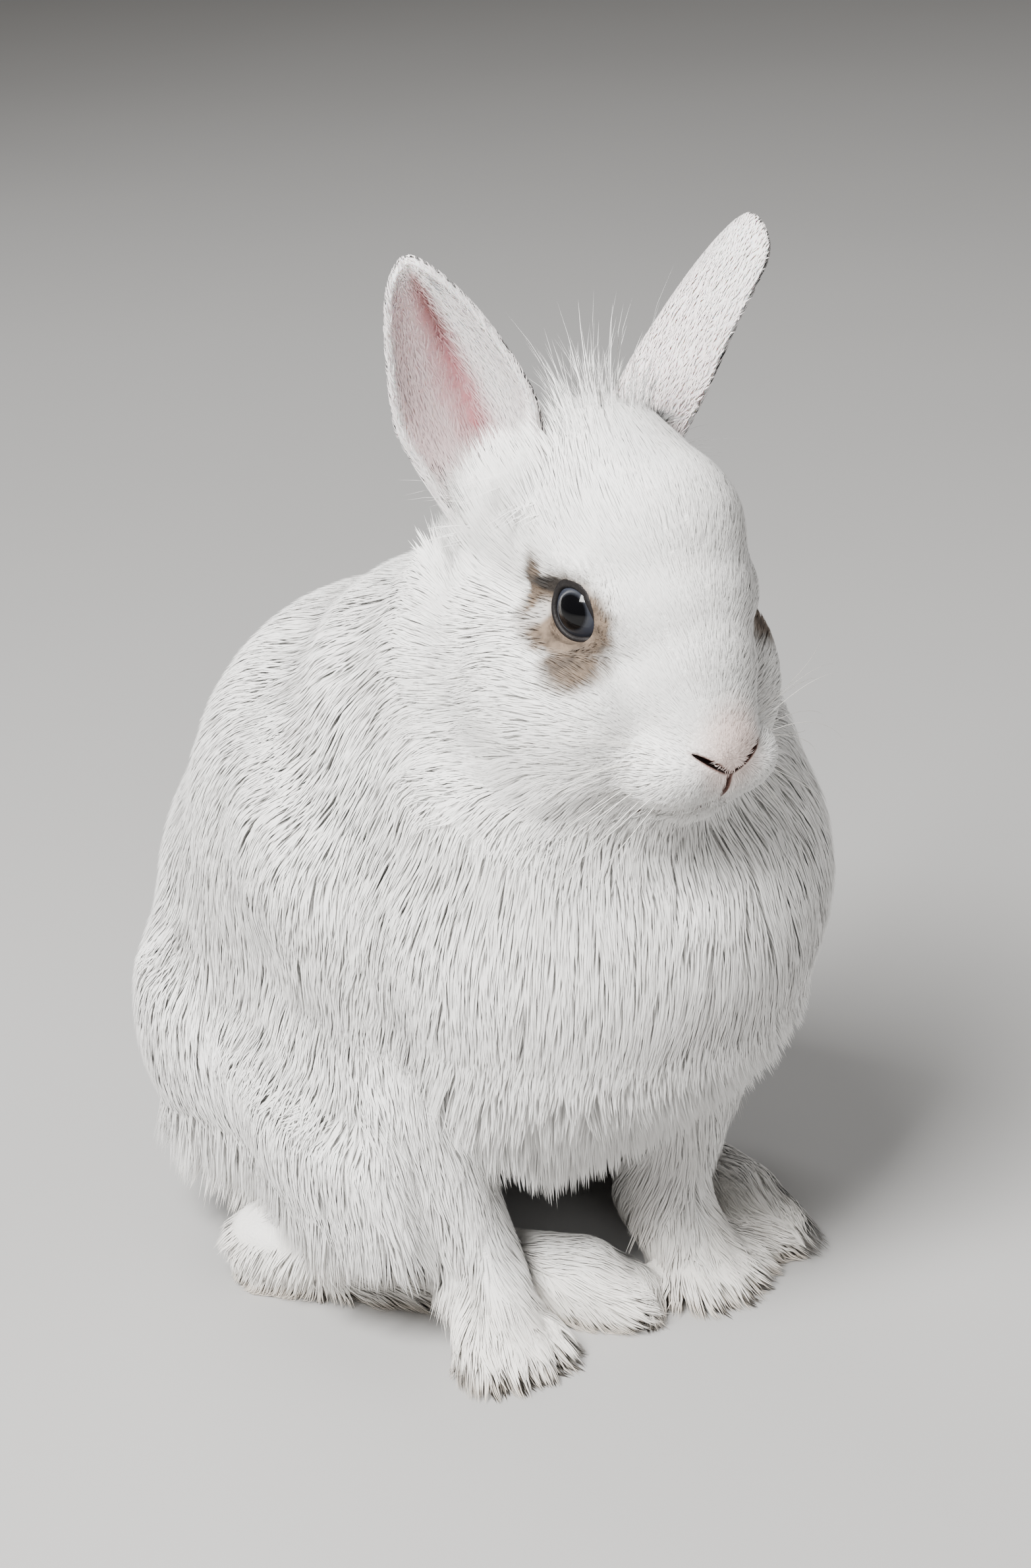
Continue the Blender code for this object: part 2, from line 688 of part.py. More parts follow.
def forelock_rows():
    """The wisps that stand between the ears and fan outwards, and those beside the ears."""
    frame = head_frame()
    axes = frame.to_3x3()
    tall = []
    for place, side in enumerate(spread(-0.012, 0.012, 9)):
        inside = frame @ Vector((side, 0.014 + 0.007 * (place % 2), 0.018))
        lie = axes @ Vector((side * 60, 0.5 - 0.8 * (place % 2), 1))
        tall.append((inside, axes @ Vector((0, 0, 1)), lie))
    beside = []
    for sign in SIDES.values():
        for up in (-0.004, 0.008):
            inside = frame @ Vector((sign * 0.012, 0.034, up))
            way = axes @ Vector((sign * 0.5, 1.0, -0.1))
            beside.append((inside, axes @ Vector((sign, 0.6, 0)), way))
    stand = {"flatness": 0.45, "hugs": 0.0, "stands": 1.0, "stray": 0.002, "sizes": (0.6, 1.3)}
    return [
        (lock_kind(0.021, 0.0044, bends=(0, 1.1, -0.2), **stand), tall),
        (lock_kind(0.018, 0.0080, bends=(0, 0.3, -0.5), hugs=0.4), beside),
    ]


def haunch_rows(side):
    """The fringe along the lower edge of a thigh."""
    sign = SIDES[side]
    back = HIPS + Vector((sign * 0.030, 0.022, -0.024))
    front = KNEES[side] + Vector((-sign * 0.010, 0.012, 0.010))
    seeds = []
    for share in spread(0.0, 0.95, 5):
        out = Vector((sign, 0.25 - 0.3 * share, -0.05))
        seeds.append((back.lerp(front, share), out, (0, 0.35, -1)))
    return [(lock_kind(0.029, 0.0150, hugs=0.4, bends=(0, 0.4, 0), proud=0.003), seeds)]


def boxes_meet(one, other):
    """Whether the boxes round two objects overlap."""
    spans = []
    for obj in (one, other):
        points = np.array([v.co for v in obj.data.vertices])
        spans.append((points.min(axis=0), points.max(axis=0)))
    (low, high), (other_low, other_high) = spans
    return bool(np.all(low <= other_high) and np.all(other_low <= high))


def stand_on_centre(parts):
    """Moves every piece so that the middle of the animal's box stands over the origin."""
    points = np.array([v.co for obj in parts.objects for v in obj.data.vertices])
    low, high = points.min(axis=0), points.max(axis=0)
    shift = Vector((-(low[0] + high[0]) / 2, -(low[1] + high[1]) / 2, -low[2]))
    for obj in parts.objects:
        obj.data.transform(Matrix.Translation(shift))


def main():
    """Builds the rabbit and parts it into its pieces."""
    for obj in list(bpy.data.objects):
        bpy.data.objects.remove(obj)
    parts = bpy.data.collections.new("rabbit")
    helpers = bpy.data.collections.new("cutters")
    bpy.context.scene.collection.children.link(parts)
    bpy.context.scene.collection.children.link(helpers)
    body = fused_body(parts)
    floor = box_cutter("floor", (-0.3, -0.3, -0.1), (0.3, 0.3, 0), helpers)
    combine(body, floor, "DIFFERENCE")
    remove(floor)

    head_centre = head_frame() @ Vector((0, 0.012, -0.004))
    cutter = ball_cutter("head_cutter", head_centre, (0.043, 0.0460, 0.0500), helpers)
    head = claim(body, "head", cutter, parts, helpers)
    neck_centre = NECK + Vector((0, -0.006, 0.004))
    cutter = ball_cutter("neck_cutter", neck_centre, (0.062, 0.062, 0.036), helpers, turn_of(20, "X"))
    claim(body, "neck", cutter, parts, helpers)
    for side in SIDES:
        claim(body, "hind_foot_" + side, foot_cutter(side, helpers), parts, helpers)
    for side in SIDES:
        claim(body, "foreleg_" + side, leg_cutter(side, helpers), parts, helpers)
    thighs = {}
    for side in SIDES:
        thighs[side] = claim(body, "thigh_" + side, haunch_cutter(side, helpers), parts, helpers)
    tail_root = TAIL + Vector((0, 0.008, 0))
    cutter = ball_cutter("tail_cutter", tail_root, (0.026, 0.0170, 0.028), helpers)
    claim(body, "tail", cutter, parts, helpers)
    body.name = "torso"
    keep_largest(body)

    cut_mouth(head, helpers)
    for side in SIDES:
        set_eye(head, side, parts, helpers)
    ears = []
    for side in SIDES:
        ear = ear_shell(side, parts)
        wider = copy_of(head, "wider", helpers, GAP)
        combine(ear, wider, "DIFFERENCE")
        remove(wider)
        keep_largest(ear)
        ears.append(ear)

    chance = random.Random(SEED)
    combed = {
        body: chest_rows(),
        head: cheek_rows() + forelock_rows(),
        thighs["right"]: haunch_rows("right"),
        thighs["left"]: haunch_rows("left"),
    }
    for node, rows in combed.items():
        comb(node, rows, chance, parts, helpers)

    stand_on_centre(parts)
    coat = material("white_coat", (0.86, 0.85, 0.82), 0.9)
    ear_skin = material("pink_ear", (0.88, 0.80, 0.79), 0.8)
    iris = material("blue_grey_eye", (0.10, 0.12, 0.16), 0.1)
    for obj in parts.objects:
        kind = obj.name.split("_")[0]
        obj.data.materials.clear()
        obj.data.materials.append({"eye": iris, "ear": ear_skin}.get(kind, coat))


main()
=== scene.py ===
"""The looks of a small white pet rabbit that sits upright, life size.

One skin stands for the nodes of flesh. Fur, eyes, lids, ears, whiskers and claws are pieces
of their own round it. Sizes are in metres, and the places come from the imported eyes, which
stand on the two sides of the head.
"""

import math

import bmesh
import bpy
import numpy as np
from mathutils import Matrix, Quaternion, Vector, noise
from mathutils.bvhtree import BVHTree
from mathutils.kdtree import KDTree


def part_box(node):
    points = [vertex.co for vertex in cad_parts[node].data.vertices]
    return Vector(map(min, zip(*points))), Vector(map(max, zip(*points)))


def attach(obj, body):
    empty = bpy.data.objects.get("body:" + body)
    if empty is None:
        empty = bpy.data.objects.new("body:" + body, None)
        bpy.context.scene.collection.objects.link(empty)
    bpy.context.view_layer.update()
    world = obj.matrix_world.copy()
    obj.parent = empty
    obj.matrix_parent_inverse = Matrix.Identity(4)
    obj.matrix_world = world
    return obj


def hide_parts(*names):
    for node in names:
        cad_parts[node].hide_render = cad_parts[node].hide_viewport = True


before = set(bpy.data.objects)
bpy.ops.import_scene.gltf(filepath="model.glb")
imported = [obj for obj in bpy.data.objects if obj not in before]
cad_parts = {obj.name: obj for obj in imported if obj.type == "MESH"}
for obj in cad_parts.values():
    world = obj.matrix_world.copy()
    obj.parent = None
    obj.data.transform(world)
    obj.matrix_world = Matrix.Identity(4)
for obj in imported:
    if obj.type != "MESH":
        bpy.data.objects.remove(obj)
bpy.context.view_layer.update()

SIDES = {"right": -1, "left": 1}
FLESH = (
    "torso", "neck", "head", "tail", "thigh_right", "thigh_left", "hind_foot_right",
    "hind_foot_left", "foreleg_right", "foreleg_left",
)
SEED = 11
PIECE_TRIANGLES = 190000
BLADE_TRIANGLES = 10

# The driving sizes of the body, as in its solids.
HIP_HALF_WIDTH = 0.058
CHEST_HALF_WIDTH = 0.058
BACK_HEIGHT = 0.160
CHEST_TURN = 20.0
EYE_SLIT_LENGTH = 0.0124
EYE_SLIT_HEIGHT = 0.0106
EYE_SLIT_SLOPE = math.radians(38)
EYE_AIM = Vector((0.950, 0.20, 0.07))
EYE_BEHIND = 0.0022
EYE_INSETS = {"right": 0.0, "left": 0.0014}
SKIN_GRID = 0.00105
SKIN_TRIANGLES = 150000

# The head as designed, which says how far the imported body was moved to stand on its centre.
HEAD_AS_DESIGNED = Vector((-0.0257, -0.0627, 0.1794))


def centre_of(node):
    """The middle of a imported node's box."""
    low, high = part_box(node)
    return (low + high) / 2


EYES = {side: centre_of("eye_" + side) for side in SIDES}
EYE_RADIUS = (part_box("eye_right")[1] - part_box("eye_right")[0]).z / 2
HEAD = (EYES["right"] + EYES["left"]) / 2
MOVED = HEAD - HEAD_AS_DESIGNED


def placed(x, y, z):
    """A place of the design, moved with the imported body."""
    return Vector((x, y, z)) + MOVED


HIPS = placed(-0.003, 0.045, 0.074)
LOIN = placed(-0.008, 0.026, 0.104)
WITHERS = placed(-0.016, -0.002, 0.126)
CHEST = placed(-0.013, -0.030, 0.104)
NECK = placed(-0.021, -0.026, 0.158)
TAIL = placed(-0.002, 0.096, 0.042)
FOREPAWS = {"right": placed(-0.049, -0.024, 0), "left": placed(0.0015, -0.041, 0)}
FOREPAW_TURNS = {"right": 22.0, "left": 2.0}
ELBOWS = {"right": placed(-0.050, -0.002, 0.064), "left": placed(0.012, -0.040, 0.064)}
HIND_TOES = {"right": placed(-0.0245, -0.030, 0), "left": placed(0.0245, -0.040, 0)}
HIND_HEELS = {"right": placed(-0.052, 0.039, 0), "left": placed(0.050, 0.036, 0)}
KNEES = {"right": placed(-0.056, -0.006, 0.034), "left": placed(0.050, -0.012, 0.034)}
EAR_SUNK = 0.016
EAR_HALF_WIDTH = 0.0168
EAR_THICKNESS = 0.0013
EAR_ROOT = (0.0150, -0.0335, 0.0220)
EAR_TIPS = {"right": (0.0445, -0.0235, 0.0717), "left": (0.0440, -0.0235, 0.0698)}
EAR_OPENINGS = {"right": 45.0, "left": 80.0}
EAR_SPREADS = {"right": (0.27, 1.75), "left": (0.56, 0.72)}
EAR_FRONT_HAIR = {"right": 0.0105, "left": 0.0060}
EAR_FRONT_LIFT = {"right": 0.90, "left": 0.30}
EAR_FOLD = 0.05


def turn_of(degrees, axis="Z"):
    """A rotation by some degrees about one axis."""
    return Matrix.Rotation(math.radians(degrees), 4, axis)


def head_axes():
    """The head's own axes, midway between its eyes: X to its left, -Y ahead, Z up."""
    side = (EYES["left"] - EYES["right"]).normalized()
    back = Vector((0, 0, 1)).cross(side).normalized()
    up = side.cross(back)
    return Matrix.Translation(HEAD) @ Matrix((side, back, up)).transposed().to_4x4()


HEAD_AXES = head_axes()


def on_head(side, ahead, up):
    """A place given in the head's own axes."""
    return HEAD_AXES @ Vector((side, -ahead, up))


def head_way(side, ahead, up):
    """A direction given in the head's own axes."""
    return (HEAD_AXES.to_3x3() @ Vector((side, -ahead, up))).normalized()


# Meshes and objects.


def new_object(name, mesh, smooth=True):
    """Makes an object of a mesh or a bmesh, at the world's origin."""
    if isinstance(mesh, bmesh.types.BMesh):
        made = bpy.data.meshes.new(name)
        mesh.to_mesh(made)
        mesh.free()
        mesh = made
    obj = bpy.data.objects.new(name, mesh)
    bpy.context.scene.collection.objects.link(obj)
    if smooth:
        mesh.shade_smooth()
    return obj


def settle(obj):
    """Replaces an object's mesh with what its modifiers make of it."""
    bpy.context.view_layer.update()
    graph = bpy.context.evaluated_depsgraph_get()
    mesh = bpy.data.meshes.new_from_object(obj.evaluated_get(graph))
    old = obj.data
    obj.modifiers.clear()
    obj.data = mesh
    bpy.data.meshes.remove(old)
    return obj


def remove(obj):
    """Removes an object and its mesh."""
    mesh = obj.data
    bpy.data.objects.remove(obj)
    bpy.data.meshes.remove(mesh)


def combine(obj, other, operation):
    """Cuts obj by other or joins them, applies the result and removes the other."""
    cut = obj.modifiers.new(operation.title(), "BOOLEAN")
    cut.operation = operation
    cut.object = other
    cut.solver = "MANIFOLD"
    settle(obj)
    remove(other)
    return obj


def add_ball(bm, centre, radii, turn=None, segments=36):
    """Adds an ellipsoid with the given radii, turned by a rotation matrix."""
    turn = turn or Matrix.Identity(4)
    place = Matrix.Translation(centre) @ turn @ Matrix.Diagonal((*radii, 1))
    ball = bmesh.new()
    bands = segments * 2 // 3
    bmesh.ops.create_uvsphere(ball, u_segments=segments, v_segments=bands, radius=1, matrix=place)
    mesh = bpy.data.meshes.new("ball")
    ball.to_mesh(mesh)
    ball.free()
    bm.from_mesh(mesh)
    bpy.data.meshes.remove(mesh)


def ball_object(name, centre, radii, turn=None, segments=48):
    """A single ellipsoid as an object."""
    bm = bmesh.new()
    add_ball(bm, centre, radii, turn, segments)
    return new_object(name, bm)


def add_limb(bm, joints, radii, steps=9):
    """Adds a tapering limb: balls set close along straight runs between its joints."""
    for (start, end), (first, last) in zip(zip(joints, joints[1:]), zip(radii, radii[1:])):
        for step in range(steps + 1):
            share = step / steps
            radius = first + (last - first) * share
            add_ball(bm, start.lerp(end, share), (radius, radius, radius), None, 24)


def add_head_ball(bm, side, ahead, up, radii, pitch=0.0):
    """Adds a ball at a place in the head's own axes, on both sides where side isn't 0."""
    turn = HEAD_AXES.to_3x3().to_4x4() @ turn_of(pitch, "X")
    for sign in ((1, -1) if side else (1,)):
        add_ball(bm, on_head(sign * side, ahead, up), radii, turn)


# The body's masses.


def add_trunk(bm):
    """The hips, back, chest, belly and neck."""
    chest_turn = turn_of(-CHEST_TURN)
    add_ball(bm, HIPS, (0.050, 0.054, 0.065))
    add_ball(bm, HIPS + Vector((0, 0.004, -0.030)), (0.042, 0.044, 0.034))
    add_ball(bm, LOIN, (0.051, 0.054, BACK_HEIGHT - LOIN.z + 0.004))
    add_ball(bm, WITHERS, (0.046, 0.046, 0.052))
    add_ball(bm, LOIN.lerp(CHEST, 0.5), (0.056, 0.050, 0.056))
    add_ball(bm, CHEST, (CHEST_HALF_WIDTH, 0.050, 0.055), chest_turn)
    add_ball(bm, CHEST + Vector((0.004, 0.016, -0.030)), (0.050, 0.046, 0.033))
    add_ball(bm, NECK, (0.036, 0.036, 0.034))
    add_ball(bm, CHEST + Vector((-0.004, -0.004, 0.030)), (0.050, 0.042, 0.030), chest_turn)
    add_ball(bm, WITHERS + Vector((0, 0.010, -0.012)), (0.054, 0.048, 0.046))
    add_ball(bm, on_head(0.032, -0.026, -0.047), (0.024, 0.024, 0.026))
    add_ball(bm, TAIL, (0.015, 0.015, 0.019), turn_of(-20, "X"))


def add_haunch(bm, side):
    """The thigh, which spreads from the hip down to the knee."""
    sign = SIDES[side]
    hip = HIPS + Vector((sign * (HIP_HALF_WIDTH - 0.024), -0.004, -0.010))
    knee = KNEES[side]
    turn = (knee - hip).to_track_quat("-Y", "Z").to_matrix().to_4x4()
    add_ball(bm, hip.lerp(knee, 0.42), (0.024, 0.045, 0.031), turn)
    add_ball(bm, knee + Vector((0, 0.006, 0.002)), (0.015, 0.019, 0.017))
    add_ball(bm, hip + Vector((-sign * 0.002, 0.014, -0.006)), (0.026, 0.034, 0.040))


def toe_places(side, hind):
    """The middles of a foot's four toes, and the way they point."""
    if hind:
        heel, toes = HIND_HEELS[side], HIND_TOES[side]
        ahead = (toes - heel).normalized()
        spacing, reach, bow, height = 0.0048, 0.0105, 0.0012, 0.0062
    else:
        toes = FOREPAWS[side]
        ahead = (turn_of(-FOREPAW_TURNS[side]) @ Vector((0, -1, 0))).normalized()
        spacing, reach, bow, height = 0.0062, 0.0100, 0.0013, 0.0048
    across = Vector((-ahead.y, ahead.x, 0))
    places = []
    for toe in range(4):
        offset = toe - 1.5
        forward = reach - bow * offset ** 2
        places.append(toes + ahead * forward + across * offset * spacing + Vector((0, 0, height)))
    return places, ahead


def add_hind_foot(bm, side):
    """The long hind foot, flat on the floor from its heel to its four toes."""
    heel, toes = HIND_HEELS[side], HIND_TOES[side]
    lift = Vector((0, 0, 0.0085))
    add_limb(bm, [heel + lift, toes + lift], [0.0105, 0.0105])
    shin = KNEES[side] - Vector((SIDES[side] * 0.006, 0, 0))
    add_limb(bm, [heel + Vector((0, 0.002, 0.011)), shin], [0.0112, 0.0112])
    places, ahead = toe_places(side, True)
    turn = ahead.to_track_quat("-Y", "Z").to_matrix().to_4x4()
    for place in places:
        add_ball(bm, place, (0.0034, 0.0088, 0.0060), turn, 24)


def add_foreleg(bm, side):
    """The straight foreleg and its forepaw with four toes to the front."""
    paw = FOREPAWS[side]
    places, ahead = toe_places(side, False)
    wrist = paw - ahead * 0.008 + Vector((0, 0, 0.020))
    add_limb(bm, [wrist, ELBOWS[side]], [0.0112, 0.0168])
    add_limb(bm, [wrist, paw + ahead * 0.002 + Vector((0, 0, 0.0065))], [0.0112, 0.0105])
    turn = ahead.to_track_quat("-Y", "Z").to_matrix().to_4x4()
    for place in places:
        add_ball(bm, place, (0.0042, 0.0085, 0.0062), turn, 24)


def add_head(bm):
    """The skull, cheeks, muzzle and jaw, in the head's own axes."""
    add_head_ball(bm, 0, -0.0160, 0.0110, (0.0240, 0.0265, 0.0250))
    add_head_ball(bm, 0, -0.0050, 0.0120, (0.0222, 0.0220, 0.0205))
    add_head_ball(bm, 0, 0.0015, -0.0005, (0.0200, 0.0195, 0.0190), 12)
    add_head_ball(bm, 0, 0.0090, -0.0150, (0.0158, 0.0148, 0.0200), 12)
    add_head_ball(bm, 0, 0.0148, -0.0215, (0.0128, 0.0102, 0.0130), 12)
    add_head_ball(bm, 0, 0.0185, -0.0270, (0.0112, 0.0082, 0.0098), 10)
    add_head_ball(bm, 0.0078, 0.0142, -0.0318, (0.0108, 0.0112, 0.0090))
    add_head_ball(bm, 0, 0.0165, -0.0345, (0.0085, 0.0080, 0.0055))
    add_head_ball(bm, 0.0160, -0.0115, -0.0235, (0.0194, 0.0250, 0.0250))
    add_head_ball(bm, 0, -0.0060, -0.0360, (0.0190, 0.0240, 0.0130))
    add_head_ball(bm, 0, 0.0098, -0.0410, (0.0100, 0.0105, 0.0060))
    add_head_ball(bm, 0.0170, -0.0040, 0.0100, (0.0065, 0.0110, 0.0050))
    add_head_ball(bm, 0.0140, 0.0010, 0.0000, (0.0082, 0.0125, 0.0115))
    add_head_ball(bm, 0.0130, -0.0320, 0.0160, (0.0110, 0.0120, 0.0130))
    add_head_ball(bm, 0.0170, -0.0290, 0.0100, (0.0100, 0.0110, 0.0120))
    add_head_ball(bm, 0, -0.0300, -0.0080, (0.0250, 0.0240, 0.0280))


# Where on the body a point is. Each share is 1 inside its region and fades to 0 round it.


def ramp(values, low, high):
    """0 below low, 1 above high and smooth between them; low may be the greater."""
    share = np.clip((values - low) / (high - low), 0, 1)
    return share * share * (3 - 2 * share)


def near(points, centre, reach, fade):
    """1 within reach of a centre, falling to 0 over the fade beyond it."""
    gap = np.linalg.norm(points - np.array(centre), axis=1)
    return ramp(gap, reach + fade, reach)


def gap_to_line(points, start, end):
    """How far the points are from a straight run."""
    start, end = np.array(start), np.array(end)
    run = end - start
    share = np.clip((points - start) @ run / (run @ run), 0, 1)
    return np.linalg.norm(points - start - share[:, None] * run, axis=1)


def near_line(points, start, end, reach, fade):
    """1 within reach of a straight run, falling to 0 over the fade beyond it."""
    return ramp(gap_to_line(points, start, end), reach + fade, reach)


def mixed(first, second, share):
    """A blend of two values or two rows of vectors, by a share for each point."""
    share = share[:, None] if np.ndim(first) > 1 or np.ndim(second) > 1 else share
    return first + (second - first) * share


def unit(vectors):
    """Vectors of length 1."""
    return vectors / np.maximum(np.linalg.norm(vectors, axis=1, keepdims=True), 1e-9)


def regions(points):
    """The share of each region of the coat at the points."""
    low = points[:, 2]
    legs = np.zeros(len(points))
    for side in SIDES:
        paw = FOREPAWS[side]
        legs = np.maximum(legs, near_line(points, paw, ELBOWS[side], 0.0195, 0.008))
    fringe, ruff = np.zeros(len(points)), np.zeros(len(points))
    for side, sign in SIDES.items():
        behind = HIPS + Vector((sign * 0.046, 0.026, -0.046))
        knee = KNEES[side] + Vector((sign * 0.006, 0.000, -0.010))
        fringe = np.maximum(fringe, near_line(points, behind, knee, 0.011, 0.010))
        root, axis, length, _, _ = ear_frame(side)
        ruff = np.maximum(ruff, near_line(points, root, root + axis * length * 0.5, 0.0175, 0.0070))
    return {
        "fringe": fringe * ramp(low, 0.008, 0.015),
        "ruff": ruff,
        "nape": near(points, on_head(0, -0.046, 0.000), 0.018, 0.014),
        "rump": ramp(points[:, 1], HIPS.y + 0.012, HIPS.y + 0.030) * ramp(low, 0.034, 0.022),
        "head": near(points, on_head(0, -0.012, -0.004), 0.040, 0.014),
        "face": near(points, on_head(0, 0.012, -0.014), 0.023, 0.014),
        "muzzle": near(points, on_head(0, 0.0215, -0.0305), 0.0085, 0.010),
        "crown": near(points, on_head(0, -0.020, 0.034), 0.014, 0.014),
        "cheek": np.maximum(
            near(points, on_head(0.026, -0.020, -0.030), 0.020, 0.014),
            near(points, on_head(-0.026, -0.020, -0.030), 0.020, 0.014),
        ),
        "foot": ramp(low, 0.030, 0.020),
        "leg": legs * ramp(low, 0.066, 0.050),
        "tail": near(points, TAIL, 0.017, 0.010),
        "chest": near(points, CHEST + Vector((-0.014, -0.044, -0.004)), 0.042, 0.030),
    }


def coat_depth(points):
    """How deep the skin lies below the outline of the coat."""
    part = regions(points)
    depth = np.full(len(points), 0.0029)
    depth = mixed(depth, 0.0013, part["head"])
    depth = mixed(depth, 0.0020, part["cheek"] * 0.8)
    depth = mixed(depth, 0.0008, part["face"])
    depth = mixed(depth, 0.0016, part["leg"])
    depth = mixed(depth, 0.0012, part["foot"])
    depth = mixed(depth, 0.0032, part["nape"])
    return mixed(depth, 0.0030, part["tail"])


def points_of(mesh):
    """A mesh's points as rows of an array."""
    flat = np.empty(len(mesh.vertices) * 3)
    mesh.vertices.foreach_get("co", flat)
    return flat.reshape(-1, 3)


def normals_of(mesh):
    """A mesh's point normals as rows of an array."""
    flat = np.empty(len(mesh.vertices) * 3, np.float32)
    mesh.vertex_normals.foreach_get("vector", flat)
    return flat.reshape(-1, 3).astype(float)


def set_points(mesh, points):
    """Moves a mesh's points."""
    mesh.vertices.foreach_set("co", points.ravel())
    mesh.update()


def smooth(obj, turns, group=None):
    """Smooths a mesh, by the weights of a vertex group where one is named."""
    soften = obj.modifiers.new("Soften", "SMOOTH")
    soften.factor = 0.5
    soften.iterations = turns
    if group:
        soften.vertex_group = group
    return settle(obj)


def fold_lines():
    """The creases of the body: the run of each, its reach and its depth."""
    lines = []
    for side, sign in SIDES.items():
        jaw = ((0.0270, -0.0402, 0.0004), (0.0344, -0.0272, -0.0157), (0.0344, -0.0234, -0.0303),
               (0.0304, -0.0068, -0.0404), (0.0153, 0.0029, -0.0479), (0.0, 0.0070, -0.0540))
        lines.append(([on_head(sign * x, y, z) for x, y, z in jaw], 0.0065, 0.0040))
        for run, reach, depth in (
            (((0.0459, 0.0666, 0.0841), (0.0534, 0.0461, 0.0718), (0.0623, 0.0124, 0.0644),
              (0.0600, -0.0086, 0.0590), (0.0610, -0.0148, 0.0440)), 0.0068, 0.0038),
            (((0.0282, 0.0347, 0.1526), (0.0554, 0.0052, 0.1394), (0.0600, -0.0074, 0.1253),
              (0.0633, -0.0137, 0.1058), (0.0605, -0.0100, 0.0750)), 0.0085, 0.0026),
            (((0.0560, 0.0600, 0.0300), (0.0605, 0.0254, 0.0230), (0.0600, 0.0050, 0.0205),
              (0.0590, -0.0090, 0.0170)), 0.0060, 0.0055),
            (((0.0620, -0.0160, 0.0480), (0.0600, -0.0195, 0.0330), (0.0580, -0.0215, 0.0180)), 0.0050, 0.0052),
        ):
            middle = -0.003 if sign > 0 else 0.0
            lines.append(([placed(sign * x + 2 * middle, y, z) for x, y, z in run], reach, depth))
    return lines


def press_folds(skin):
    """Presses the creases into the skin, each from its run brought onto the surface."""
    points, normals = points_of(skin.data), normals_of(skin.data)
    skin.data.calc_loop_triangles()
    tree = BVHTree.FromPolygons(points.tolist(), [face.vertices[:] for face in skin.data.polygons])
    sunk = np.zeros(len(points))
    for run, reach, depth in fold_lines():
        run = [np.array(tree.find_nearest(place)[0]) for place in run]
        for start, end in zip(run, run[1:]):
            gap = gap_to_line(points, start, end)
            sunk = np.maximum(sunk, depth * np.exp(-(gap / reach) ** 2))
    set_points(skin.data, points - normals * sunk[:, None])


def make_skin():
    """The whole body under its coat, as one closed skin."""
    bm = bmesh.new()
    add_trunk(bm)
    add_head(bm)
    for side in SIDES:
        add_haunch(bm, side)
        add_hind_foot(bm, side)
        add_foreleg(bm, side)
    skin = new_object("skin", bm)
    fuse = skin.modifiers.new("Fuse", "REMESH")
    fuse.mode = "VOXEL"
    fuse.voxel_size = SKIN_GRID
    settle(skin)
    points = points_of(skin.data)
    part = regions(points)
    broad = 1 - np.maximum(part["foot"], near(points, on_head(0, 0, -0.006), 0.036, 0.014))
    group = skin.vertex_groups.new(name="broad")
    for share in range(1, 11):
        chosen = np.nonzero(np.round(broad * 10) == share)[0]
        group.add(chosen.tolist(), share / 10, "REPLACE")
    smooth(skin, 190, "broad")
    smooth(skin, 14)
    skin.vertex_groups.clear()
    press_folds(skin)
    smooth(skin, 3)
    points = points_of(skin.data)
    points = points - normals_of(skin.data) * coat_depth(points)[:, None]
    points[:, 2] = np.maximum(points[:, 2], 0.0004)
    set_points(skin.data, points)
    smooth(skin, 4)
    thin = skin.modifiers.new("Thin", "DECIMATE")
    thin.ratio = SKIN_TRIANGLES / (2 * len(skin.data.polygons))
    settle(skin)
    carve_face(skin)
    skin.data.shade_smooth()
    return skin


# The face: nostrils, cleft, mouth and eye openings.


def face_cuts():
    """Each cut of the muzzle: its place, turn and radii."""
    axes = HEAD_AXES.to_3x3().to_4x4()
    cuts = [(on_head(0, 0.0245, -0.0352), axes, (0.0006, 0.0042, 0.0042))]
    for sign in SIDES.values():
        slope = axes @ turn_of(-sign * 33, "Y")
        cuts.append((on_head(sign * 0.0044, 0.0232, -0.0290), slope, (0.0053, 0.0040, 0.0006)))
    for sign in SIDES.values():
        droop = axes @ turn_of(sign * 22, "Y")
        cuts.append((on_head(sign * 0.0062, 0.0140, -0.0408), droop, (0.0075, 0.0105, 0.0004)))
    return cuts


def eye_axes(side):
    """An eye's own axes: Z out of the socket, X along the slit to its front corner."""
    sign = SIDES[side]
    aim = head_way(sign * EYE_AIM.x, EYE_AIM.y, EYE_AIM.z)
    corner = head_way(0, math.cos(EYE_SLIT_SLOPE), -math.sin(EYE_SLIT_SLOPE))
    along = (corner - aim * corner.dot(aim)).normalized()
    across = aim.cross(along)
    axes = Matrix((along, across, aim)).transposed().to_4x4()
    shift = head_way(-sign, 0, 0) * EYE_INSETS[side] + head_way(0, -1, 0) * EYE_BEHIND
    return Matrix.Translation(EYES[side] + shift) @ axes


def eye_edge(angle, margin=0.0):
    """A point on the edge of an eye's opening, along and across it: pointed at both corners."""
    corner = max(0.0, math.cos(angle)) ** 9
    rear = max(0.0, -math.cos(angle)) ** 7
    lean = 0.30 * math.sin(2 * angle)
    along = math.cos(angle - 0.10 * lean) * (EYE_SLIT_LENGTH / 2) * (0.93 + 0.17 * corner + 0.06 * rear)
    full = 1.0 - 0.16 * max(0.0, math.sin(angle)) * max(0.0, math.cos(angle)) ** 0.5
    return along * (1 + margin / 0.006), math.sin(angle) * EYE_SLIT_HEIGHT / 2 * full * (1 + margin / 0.005)


